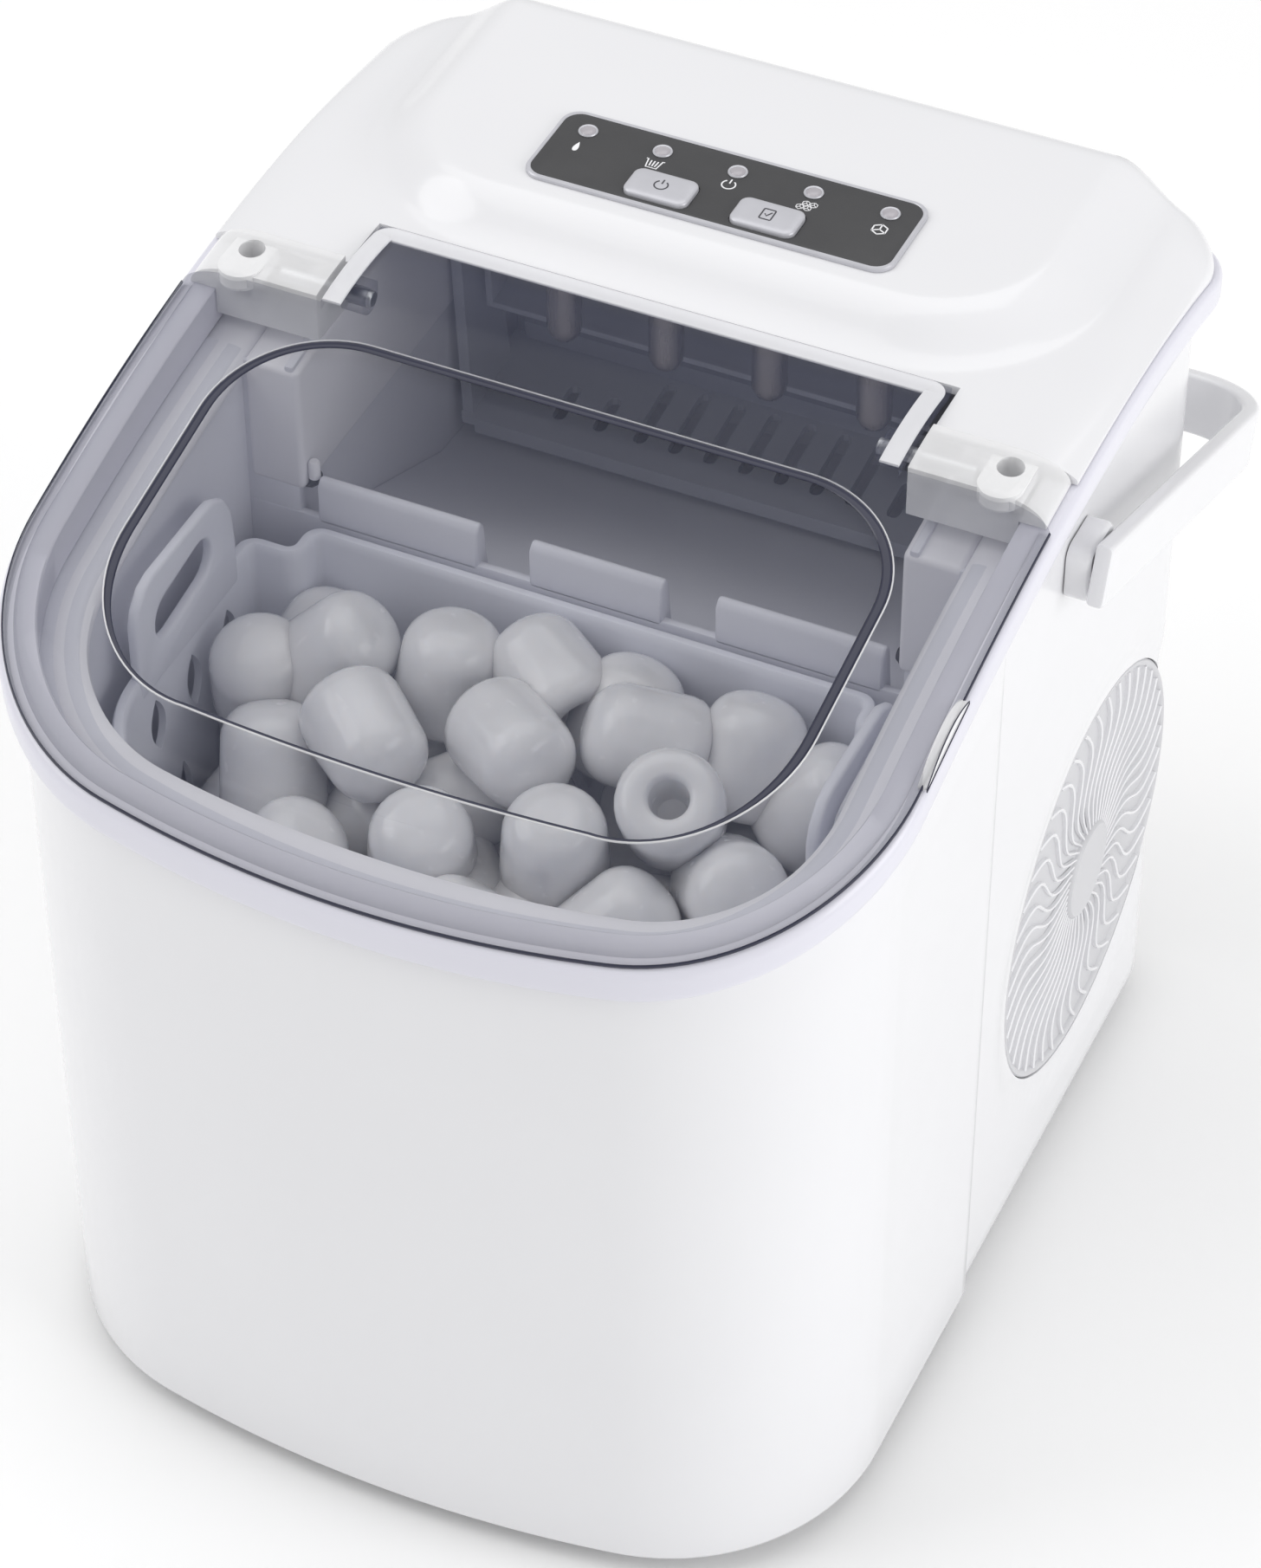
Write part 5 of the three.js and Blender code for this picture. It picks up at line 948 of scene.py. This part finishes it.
class ICE_OT_panel(bpy.types.Operator):
    """Control panel: a film in a pale border, crowned keys, domed lenses and simple marks"""

    bl_idname = "ice.panel"
    bl_label = "Control panel"

    def execute(self, context):
        holes = [prism(rounded_box(x - 8.8, 194.1, x + 8.8, 205.2, 2.8), 260, 280) for x in KEY_X]
        holes += [turned([(2.4, 260), (2.4, 280)], (x, LENS_Y, 0), steps=32) for x in LENS_X]

        def film(inset):
            return rounded_box(-48.4 + inset, 192 + inset, 48.4 - inset, 221 - inset, 5 - inset * 0.6, 10)

        border = pillow(film, [(0, HOOD_TOP + 0.1), (0, 267.9), (0.25, PANEL_TOP), (0.9, PANEL_TOP),
                               (1.1, 268.0)])
        field = pillow(film, [(1.0, 267.6), (1.0, 268.02), (1.2, 268.1)])
        add_piece("panel_film", worked(field, cutters=[joined(*holes)]), "casing",
                  panel_film(context), ["control_panel"])
        add_piece("panel_border", worked(border, cutters=[pillow(film, [(1.05, 260), (1.05, 280)])]),
                  "casing", button_silver(context))

        def key(inset, x=0.0):
            return rounded_box(x - 8.5 + inset, 194.35 + inset, x + 8.5 - inset, 204.85 - inset,
                               2.5 - inset * 0.7, 8)

        heights = [(0.15, 262.4), (0, 262.6), (0, 268.7), (0.1, 269.05), (0.4, 269.3), (1.0, 269.42),
                   (1.8, 269.5)]
        keys = (("power_button", "power_key", power_mark()), ("select_button", "select_key", tick_mark()))
        for x, (name, body, mark) in zip(KEY_X, keys):
            cap = pillow(lambda inset, x=x: key(inset, x), heights)
            add_piece(f"{name}_cap", cap, body, button_silver(context), [name], 50)
            add_piece(f"{name}_mark", moved(mark, x, KEY_MIDDLE_Y, 269.52), body,
                      dark_ink(context))
        ring = [(1.9, 268.0), (2.35, 268.0), (2.5, 268.3), (2.35, 268.55), (1.9, 268.4)]
        dome = [(0, 262), (2.05, 262), (2.05, 268.2), (1.7, 268.6), (1.0, 268.8), (0, 268.9)]
        marks = [drop_mark(), basket_mark(), power_mark(), cluster_mark(), cube_mark()]
        for i, x in enumerate(LENS_X):
            add_piece(f"lens_{i + 1}", turned(dome, (x, LENS_Y, 0), steps=32), "casing",
                      lens_plastic(context), [f"indicator_lens_{i + 1}"])
        rings = [turned(ring + ring[:1], (x, LENS_Y, 0), steps=40) for x in LENS_X]
        add_piece("lens_rings", joined(*rings), "casing", button_silver(context))
        inks = [moved(mark, x, 207.0 if x in (LENS_X[0], LENS_X[-1]) else 208.2, 268.15)
                for x, mark in zip(LENS_X, marks)]
        add_piece("panel_marks", joined(*inks), "casing", print_ink(context))
        return {"FINISHED"}


# ------------------------------------------------------------------ tub, basket and ice
class ICE_OT_tub(bpy.types.Operator):
    """Tub: the basin's wall with its rolled collar, floor, divider with blunt ledges, and the bay behind"""

    bl_idname = "ice.tub"
    bl_label = "Tub"

    def execute(self, context):
        profile = [(-13, 0, 0), (-13, 1, -6), (-12.2, 1, -3.2), (-10.5, 1, -2.3), (-4.6, 1, -2.3),
                   (-4.6, 1, 0), (-12.4, 1, 0), (-14, 1, -0.5), (-14.8, 1, -1.6), (-15, 1, -3.4),
                   (-15, 0.5, 0), (-15, 0, 6), (-15.8, 0, 3.4), (-18, 0, 2), (-18, 0, 0)]
        basin = wall(profile, lambda y: TUB_FLOOR - 2 + 0 * y, lambda y: sill(y) - GAP, last=133.5)
        floor = prism(plan(-14, last=133.4), TUB_FLOOR - 1.9, TUB_FLOOR)
        divider = worked(block(-94, 94, DIVIDER_Y, 133.5, TUB_FLOOR, DIVIDER_TOP), bevel=0.8)
        wing = block(BAY_HALF, 96, DIVIDER_Y + 0.3, 133.3, TUB_FLOOR, float(sill(133)) - 2)
        post = worked(wing, bevel=1.0)
        rib = np.array([[131, 195], [138, 188], [136.5, 196], [135.5, 205.5], [134, 207.4], [132.5, 207.4],
                        [131, 205.5]])
        ledges = [worked(prism(rib, x0, x1, "x"), bevel=0.9, segments=3)
                  for x0, x1 in ((-75, -31.5), (-17.7, 17.7), (31.5, 75))]
        inside = np.array([[133.5, 190], [206, 159], [252.5, 155], [252.5, 246]], float)
        outside = np.array([[255, 246], [255, 152.4], [206, 156.4], [133.5, 187.4]], float)
        slope = worked(prism(np.concatenate([inside, outside]), -BAY_HALF, BAY_HALF, "x"), bevel=0.6)
        y = np.linspace(131.5, 255, 24)
        cheek_outline = np.concatenate([
            np.stack([y, sill(y) - GAP], 1)[::-1], [[131.5, 187.4], [206, 156.4], [255, 152.4]]
        ])
        bore = turned([(4.4, 75), (4.4, 90)], (0, TRAY_Y, TRAY_Z), (1, 0, 0), 28)
        cheek = worked(prism(cheek_outline, BAY_HALF, BAY_HALF + 2.5, "x"), cutters=[bore], bevel=0.6)
        y = np.linspace(131, 250, 26)
        post_outline = np.concatenate([np.stack([y, sill(y) - 1.4], 1)[::-1], [[131, 203], [250, 203]]])
        post_wall = worked(prism(post_outline, 78.5, 93.4, "x"), bevel=1.6, segments=4)
        collar_rows = []
        for inset, drop in ((4.4, 2.6), (4.4, 0.6), (5.0, 0.2), (9.0, 0), (12.0, 0.1), (14.2, 0.7),
                            (15.6, 2.0), (16.0, 3.6), (15.6, 5.2), (14.8, 6.2), (13.0, 6.2)):
            line = plan(-inset, last=COLLAR_REAR)
            forward = smooth_step((46 - line[:, 1]) / 40) * np.clip((inset - 12) / 4, 0, 1) * 3.2
            toward = np.array([0.0, 70.0]) - line
            line = line + toward / np.linalg.norm(toward, axis=1)[:, None] * forward[:, None]
            collar_rows.append(np.column_stack([line, sill(line[:, 1]) - 0.25 - drop]))
        collar = skin(np.stack(collar_rows, 1), wrap_columns=True, caps=True)
        peg = turned([(0, 206), (1.5, 206), (1.5, 210.4), (1.1, 211), (0, 211)], (-77, 134, 0), steps=20)
        lining = joined(basin, floor, divider, both_sides(post), *ledges, slope, both_sides(cheek))
        add_piece("tub_lining", lining, "casing", tub_plastic(context), ["tub_liner"], 40)
        # The collar and pillars take the lighter copy of the tub plastic: painted light
        add_piece("tub_collar", joined(collar, both_sides(post_wall), peg), "casing",
                  lit_collar_plastic(context))
        return {"FINISHED"}


def basket_plan(grow):
    """Plan of the basket: the bowed front grown inwards, and a rear with its corners stepped forward."""
    bow = half_plan(grow - 21, last=112)
    step = np.concatenate([
        arc(84, 114, 4 + grow, 0, 90, 5), arc(78, 121, 3 - grow, 270, 180, 5),
        arc(71, 124, 4 + grow, 0, 90, 5),
    ])
    return closed_line(np.concatenate([bow, step, to_middle(71, 128 + grow)]))


def leaf(u, v, width, height):
    """A slit pointed at both ends: its half width is a parabola of the distance from its middle."""
    share = np.linspace(-1, 1, 9)
    right = np.stack([u + width / 2 * (1 - share**2), v + height / 2 * share], 1)
    left = np.stack([u - width / 2 * (1 - share**2), v + height / 2 * share], 1)[::-1][1:-1]
    return np.concatenate([right, left])


class ICE_OT_basket(bpy.types.Operator):
    """Ice basket: a drafted wall with a thick rim, a floor, leaf-shaped slits and two tabs with hand slots"""

    bl_idname = "ice.basket"
    bl_label = "Ice basket"

    def execute(self, context):
        profile = [(-3, 0, 0), (-2.4, 0, 0.4), (-2.1, 0, 2), (-1.2, 0.5, 0), (-0.3, 1, -5.2), (0.9, 1, -4.6),
                   (1.2, 1, -3.6), (1.2, 1, -1.4), (0.6, 1, -0.3), (-0.3, 1, 0), (-1.4, 1, -0.2),
                   (-2.0, 1, -1), (-2.2, 1, -3), (-3.2, 0.5, 0), (-4.1, 0, 4), (-6, 0, 2), (-8, 0, 2),
                   (-8, 0, 0)]
        rows = []
        for grow, share, rise in profile:
            line = basket_plan(grow)
            z = BASKET_BOTTOM * (1 - share) + BASKET_RIM * share + rise
            rows.append(np.column_stack([line, np.full(len(line), z)]))
        shell = skin(np.stack(rows, 1), wrap_rows=True, wrap_columns=True)
        middle = BASKET_BOTTOM + 78 * 0.52
        slits = [prism(leaf(y, middle + 19, 7, 16), -100, 100, "x") for y in (48, 66, 84, 102)]
        slits += [prism(leaf(y, middle - 10, 6, 20), -100, 100, "x") for y in (57, 75, 93)]
        slits += [prism(leaf(x, middle - 10, 6, 20), -5, 135, "y") for x in (-52, -34, -17, 0, 17, 34, 52)]
        shell = worked(shell, cutters=[joined(*slits)])
        base = prism(basket_plan(-7), BASKET_BOTTOM + 0.1, BASKET_BOTTOM + 1.9)
        top = BASKET_RIM + 26
        outline = np.array([
            [60, BASKET_RIM - 6], [108.5, BASKET_RIM - 6], [108.5, BASKET_RIM + 8], [107.5, top - 9],
            [104.5, top - 3.5], [99.5, top - 0.5], [95, top], [70, top], [65.5, top - 1.2], [61.5, top - 5.5],
            [60, top - 10],
        ])
        grip = prism(stadium(75, BASKET_RIM + 10.4, 91, BASKET_RIM + 12.8, 6.2), 80, 92, "x")
        tab = worked(prism(outline, 85.4, 88.4, "x"), cutters=[grip], bevel=1.0, segments=3)
        add_piece("basket_shell", joined(shell, base, both_sides(tab)), "basket",
                  basket_plastic(context), ["ice_basket"], 40)
        return {"FINISHED"}


# middle and direction of each piece of ice whose place matters: x, y, z, then the way its rounded end points
ICE_PLACES = [
    (-71, 92, 178, 0.1, -0.3, 0.95), (-54, 100, 185, 0.65, 0.25, 0.7), (-27, 106, 184, 0.1, 0.15, 1.0),
    (-34, 76, 184, 0.65, -0.5, -0.1), (0, 86, 186, 0.75, -0.55, 0.1), (-3, 111, 187, -0.75, 0.5, 0.2),
    (17, 112, 181, 0.2, 0.4, 0.9), (27, 100, 187, -0.75, -0.35, 0.3), (42, 84, 183, -0.15, 0.5, -0.85),
    (50, 110, 183, 0.1, 0.5, 0.85), (70, 108, 176, 0.55, 0.3, 0.7), (61, 76, 172, 0.4, -0.5, 0.5),
    (19, 68, 177, 0.1, -0.2, 1.0), (-58, 72, 171, -0.2, 0.4, 0.9), (-12, 60, 172, 0.2, -0.4, 0.9),
    (-66, 113, 171, 0.4, 0.2, 0.9), (40, 57, 168, 0.5, 0.4, 0.6), (66, 50, 164, -0.4, 0.3, 0.9),
    (-42, 48, 166, 0.5, 0.1, 0.8), (6, 40, 166, 0.2, 0.6, 0.7), (-14, 84, 164, 0.6, 0.6, 0.2),
]


class ICE_OT_ice(bpy.types.Operator):
    """Ice: thimbles with a round end and the finger's hole in the other, the top ones at listed places"""

    bl_idname = "ice.bullets"
    bl_label = "Ice"

    def execute(self, context):
        radius = context.scene.ice_sizes.bullet / MM
        rng = np.random.default_rng(7)
        turn = np.radians(np.linspace(90, 0, 11))
        dome = np.stack([radius * 0.95 * np.cos(turn) ** 0.7, 5 + 9.5 * np.sin(turn) ** 0.95], 1)
        dome[0, 0] = 0
        profile = dome.tolist() + [
            (radius * 0.985, -3), (radius, -9), (radius * 0.97, -11.6), (radius * 0.88, -13.4),
            (radius * 0.76, -14.2), (6.2, -14.3), (5.2, -13.6), (4.8, -12), (4.6, -2), (3.6, 0.5), (0, 1.5),
        ]
        pieces = [(np.array(place[:3]), np.array(place[3:])) for place in ICE_PLACES]
        for layer, count in ((152, 16), (133, 16)):
            spots = np.stack([rng.uniform(-66, 66, 400), rng.uniform(32, 112, 400)], 1)
            chosen = []
            for spot in spots:
                if len(chosen) < count and all(np.hypot(*(spot - other)) > 25 for other in chosen):
                    chosen.append(spot)
            for spot in chosen:
                pieces.append((np.array([*spot, layer + rng.uniform(-4, 4)]), rng.normal(size=3)))
        parts = [turned(profile, middle, way, 28) for middle, way in pieces]
        add_piece("ice_bullets", joined(*parts), "basket", ice(context), (), 50)
        return {"FINISHED"}


# ------------------------------------------------------------------ ice making
class ICE_OT_works(bpy.types.Operator):
    """Freezing fingers on their header and hanger, and the water tray's trough with its ends and stubs"""

    bl_idname = "ice.works"
    bl_label = "Ice-making works"

    def execute(self, context):
        profile = [(0, 211), (1.8, 211.3), (3.4, 212.4), (4.3, 214.2), (4.5, 216), (4.5, 236), (4.9, 238),
                   (6.4, 239), (6.8, 240), (6.4, 241), (4.9, 242), (4.5, 244), (4.5, 251), (0, 251)]
        places = [(x, 203) for x in (-42, -14, 14, 42)] + [(x, 231) for x in (-56, -28, 0, 28, 56)]
        fingers = [turned(profile, (x, y, 0), steps=36) for x, y in places]

        def head(inset):
            return rounded_box(-64 + inset, 195 + inset, 64 - inset, 239 - inset, 6 - inset, 8)

        header = pillow(head, [(0.8, 250), (0.2, 250.3), (0, 251), (0, 256), (0.3, 256.8), (1, 257)])
        hanger = worked(block(-79.7, 79.7, 209, 225, 253, 256), bevel=0.5)
        add_piece("freezing_fingers", joined(*fingers, header, hanger), "casing", nickel(context),
                  ["evaporator"])
        outer = arc(TRAY_Y, TRAY_Z, TRAY_INNER + TRAY_WALL, 274, 404, 48)
        inner = arc(TRAY_Y, TRAY_Z, TRAY_INNER, 274, 404, 48)
        trough = worked(prism(np.concatenate([outer, inner[::-1]]), -70.5, 70.5, "x"), bevel=0.5)
        pie = np.concatenate([[[TRAY_Y, TRAY_Z]], outer])
        end = worked(prism(pie, 70, 72, "x"), bevel=0.4)
        stub = turned([(0, 70), (6, 70), (6, 72), (4, 72.2), (4, 83.6), (3.6, 84), (0, 84)],
                      (0, TRAY_Y, TRAY_Z), (1, 0, 0), 28)
        # The trough's dark grey is partly painted shade
        add_piece("tray_trough", joined(trough, both_sides(joined(end, stub))), "tray",
                  grey_plastic_painted_shade(context), ["water_tray"], 40)
        return {"FINISHED"}


# ------------------------------------------------------------------ fan and handle
class ICE_OT_grille(bpy.types.Operator):
    """Fan grille: a shallow pan with a raised rim and hub, and fins that swing once to each side"""

    bl_idname = "ice.grille"
    bl_label = "Fan grille"

    def execute(self, context):
        count = context.scene.ice_sizes.fin_count
        half = context.scene.ice_sizes.fin / MM / 2
        face = 106.5
        pan = [(0, face - 2), (GRILLE_RADIUS, face - 2), (GRILLE_RADIUS, face - 0.4), (56.1, face),
               (55.2, face), (54.6, face - 0.5), (54.2, face - 1.1), (14.5, face - 1.1), (13.6, face - 0.7),
               (13.2, face + 0.4), (12.6, face + 0.8), (11.6, face + 0.6), (8, face + 0.5), (0, face + 0.6)]
        reach = np.linspace(13.4, 54.6, 40)
        share = (reach - reach[0]) / (reach[-1] - reach[0])
        sway = np.radians(7.5) * np.sin(2 * math.pi * share) * (1.15 - 0.6 * share) + np.radians(5) * share
        section = np.array([(-half, -1.3), (half, -1.3), (half * 0.8, -0.25), (0, 0.0), (-half * 0.8, -0.25)])
        swell = 0.75 + 0.45 * share
        parts = []
        for turn in np.arange(count) * 2 * math.pi / count:
            path = np.stack([
                np.full(40, face + 0.1), FAN_Y + reach * np.cos(turn + sway),
                FAN_Z + reach * np.sin(turn + sway)
            ], 1)
            parts.append(swept(path, section, up=(1, 0, 0), scale=swell))
        add_piece("grille_pan", turned(pan, (0, FAN_Y, FAN_Z), (1, 0, 0), 120), "casing",
                  grille_plastic(context), ["fan_grille"], 40)
        add_piece("grille_fins", joined(*parts), "casing", glossy_white(context), (), 40)
        return {"FINISHED"}


class ICE_OT_handle(bpy.types.Operator):
    """Carry handle: a rounded section carried round a U, squared at its pivots and tipped down behind"""

    bl_idname = "ice.handle"
    bl_label = "Carry handle"

    def execute(self, context):
        outer_x = HANDLE_INNER + HANDLE_THICK
        run = np.concatenate([[-9.5, -9.3, -8.7], np.linspace(-8, 104.5, 22)[:-1]])
        inner = np.concatenate([
            np.stack([np.full(24, HANDLE_INNER), run], 1), arc(HANDLE_INNER - 16, 104.5, 16, 0, 90, 16),
            to_middle(HANDLE_INNER - 16, 120.5),
        ])
        outer = np.concatenate([
            np.stack([np.full(24, outer_x), run + np.maximum(0, run) / 104.5], 1),
            arc(outer_x - 20, 105.5, 20, 0, 90, 16), to_middle(outer_x - 20, 125.5),
        ])
        section = rounded_box(-2.25, -8, 2.25, 8, 1.3, 5)
        inset = np.zeros(len(inner))
        inset[:3] = (0.9, 0.35, 0.08)
        share = 0.5 + section[None, :, :1] / 4.5 * (1 - inset / 2.25)[:, None, None]
        height = section[None, :, 1:] * (1 - inset / 8)[:, None, None]
        right = np.concatenate([inner[:, None] * (1 - share) + outer[:, None] * share, height], -1)
        left = right[::-1][1:] * np.array([-1.0, 1.0, 1.0])
        bail = skin(np.concatenate([right, left]), wrap_columns=True, caps=True)
        bore = turned([(4.4, HANDLE_INNER - 2), (4.4, outer_x - 1.4)], (0, 0, 0), (1, 0, 0), 40)
        points, faces = worked(bail, cutters=[both_sides(bore)])
        tip = math.radians(HANDLE_TIP)
        y = points[:, 1] * math.cos(tip) - points[:, 2] * math.sin(tip) + PIVOT_Y
        z = points[:, 1] * math.sin(tip) + points[:, 2] * math.cos(tip) + PIVOT_Z
        add_piece("handle_bail", (np.stack([points[:, 0], y, z], 1), faces), "handle",
                  glossy_white(context), ["carry_handle"], 40)
        stub = turned([(0, 104), (4, 104), (4, outer_x - 2), (3.5, outer_x - 1.6), (0, outer_x - 1.6)],
                      (0, PIVOT_Y, PIVOT_Z), (1, 0, 0), 48)
        boss = pillow(lambda inset: rounded_box(PIVOT_Y - 8 + inset, PIVOT_Z - 8 + inset, PIVOT_Y + 8 - inset,
                                                PIVOT_Z + 8 - inset, 3.4 - inset, 6),
                      [(0, 107.8), (0, 112.8), (0.3, 113.4), (0.9, 113.9)])
        boss = boss[0][:, [2, 0, 1]], boss[1]
        for side, mirror in SIDES:
            add_piece(f"pivot_{side}", mirror(joined(stub, boss)), "casing",
                      glossy_white(context), [f"handle_pivot_{side}"])
        return {"FINISHED"}


class ICE_OT_frame_finishes(bpy.types.Operator):
    """Finishes for the frame's own nodes that are shown as they are"""

    bl_idname = "ice.frame_finishes"
    bl_label = "Frame finishes"

    def execute(self, context):
        finishes = {
            "foot": rubber, "base_tray": glossy_white, "control_board": circuit_board,
            "ice_sensor": black_plastic, "tray_motor": black_plastic, "ice_shovel": grey_plastic_painted_shade,
            "compressor_grommet": rubber, "compressor": compressor_paint, "terminal_box": black_plastic,
            "condenser": fins, "fan_shroud": black_plastic, "fan_motor": steel, "fan_blade": black_plastic,
            "filter_drier": copper, "suction_pipe": copper, "liquid_pipe": copper, "discharge_pipe": copper,
            "water_pump": black_plastic, "supply_hose": clear_plastic, "drain_hose": clear_plastic,
            "drain_cap": rubber, "power_inlet": black_plastic, "power_board": circuit_board,
            "insulation_panel": foam, "water_level_sensor": steel,
        }
        for name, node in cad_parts.items():
            if node.hide_render:
                continue
            start = max((start for start in finishes if name.startswith(start)), key=len, default=None)
            if start is None:
                raise RuntimeError(f"{name} has no finish")
            material = finishes[start](context)
            if not node.material_slots:
                node.data.materials.append(material)
            for slot in node.material_slots:
                slot.material = material
        return {"FINISHED"}


# ------------------------------------------------------------------ stage
def add_area_light(name, place, target, size, power, colour=(1, 1, 1)):
    light = bpy.data.lights.new(name, "AREA")
    light.shape = "RECTANGLE"
    light.size, light.size_y = size
    light.energy = power
    light.color = colour
    lamp = bpy.data.objects.new(name, light)
    bpy.context.scene.collection.objects.link(lamp)
    lamp.location = place
    lamp.rotation_euler = (Vector(target) - Vector(place)).to_track_quat("-Z", "Y").to_euler()
    return lamp


class ICE_OT_stage(bpy.types.Operator):
    """Pale floor, white surroundings, soft lights and the camera"""

    bl_idname = "ice.stage"
    bl_label = "Stage"

    def execute(self, context):
        scene = context.scene
        scene.view_settings.view_transform = "Standard"
        world = bpy.data.worlds.new("white room")
        world.use_nodes = True
        world.node_tree.nodes["Background"].inputs["Color"].default_value = (1, 1, 1, 1)
        world.node_tree.nodes["Background"].inputs["Strength"].default_value = 0.6
        scene.world = world
        mesh = bpy.data.meshes.new("floor")
        mesh.from_pydata([(-4, -4, 0), (4, -4, 0), (4, 4, 0), (-4, 4, 0)], [], [(0, 1, 2, 3)])
        mesh.materials.append(finish("pale floor", (0.97, 0.97, 0.97), (0.7, 0.8), (2, 0.005), (60, 0.01)))
        floor = bpy.data.objects.new("floor", mesh)
        scene.collection.objects.link(floor)
        middle = (0, 0, 0.15)
        add_area_light("key", (1.9, -0.2, 0.8), middle, (1.4, 1.4), 17)
        add_area_light("overhead", (-0.3, 0.4, 2.0), middle, (2.2, 1.6), 11)
        add_area_light("fill", (-1.5, -0.7, 1.5), middle, (1.4, 1.4), 13)
        turn, roll = math.radians(CAMERA_TURN), math.radians(CAMERA_ROLL)
        place, target = Vector(CAMERA_PLACE), Vector(CAMERA_TARGET)
        back = (place - target).normalized()
        right = Vector((math.cos(turn), math.sin(turn), 0))
        right = (right - back * right.dot(back)).normalized()
        up = back.cross(right)
        across = right * math.cos(roll) + up * math.sin(roll)
        upward = up * math.cos(roll) - right * math.sin(roll)
        camera_data = bpy.data.cameras.new("camera")
        camera_data.lens = CAMERA_LENS
        camera_data.sensor_width = 36
        camera_data.sensor_fit = "AUTO"
        camera = bpy.data.objects.new("camera", camera_data)
        scene.collection.objects.link(camera)
        camera.matrix_world = Matrix((
            (across.x, upward.x, back.x, place.x),
            (across.y, upward.y, back.y, place.y),
            (across.z, upward.z, back.z, place.z),
            (0, 0, 0, 1),
        ))
        scene.camera = camera
        return {"FINISHED"}


PIECE_OPERATORS = (
    ICE_OT_front_shell, ICE_OT_rear_shell, ICE_OT_trim, ICE_OT_hood, ICE_OT_lid, ICE_OT_hinges, ICE_OT_panel,
    ICE_OT_tub, ICE_OT_basket, ICE_OT_ice, ICE_OT_works, ICE_OT_grille, ICE_OT_handle, ICE_OT_frame_finishes,
    ICE_OT_stage,
)


class ICE_PT_panel(bpy.types.Panel):
    """Lists the sizes, the colours and the piece operators"""

    bl_idname = "ICE_PT_panel"
    bl_label = "Ice maker"
    bl_space_type = "VIEW_3D"
    bl_region_type = "UI"
    bl_category = "Ice maker"

    def draw(self, context):
        layout = self.layout
        for group in (context.scene.ice_sizes, context.scene.ice_colours):
            for name in group.__annotations__:
                layout.prop(group, name)
        for operator in PIECE_OPERATORS:
            layout.operator(operator.bl_idname)


CLASSES = (IceSizes, IceColours, *PIECE_OPERATORS, ICE_PT_panel)


def register():
    for cls in CLASSES:
        bpy.utils.register_class(cls)
    bpy.types.Scene.ice_sizes = PointerProperty(type=IceSizes)
    bpy.types.Scene.ice_colours = PointerProperty(type=IceColours)


def unregister():
    del bpy.types.Scene.ice_colours
    del bpy.types.Scene.ice_sizes
    for cls in reversed(CLASSES):
        bpy.utils.unregister_class(cls)


def main():
    register()
    for operator in PIECE_OPERATORS:
        getattr(bpy.ops.ice, operator.bl_idname.split(".")[1])()


if __name__ == "__main__":
    main()
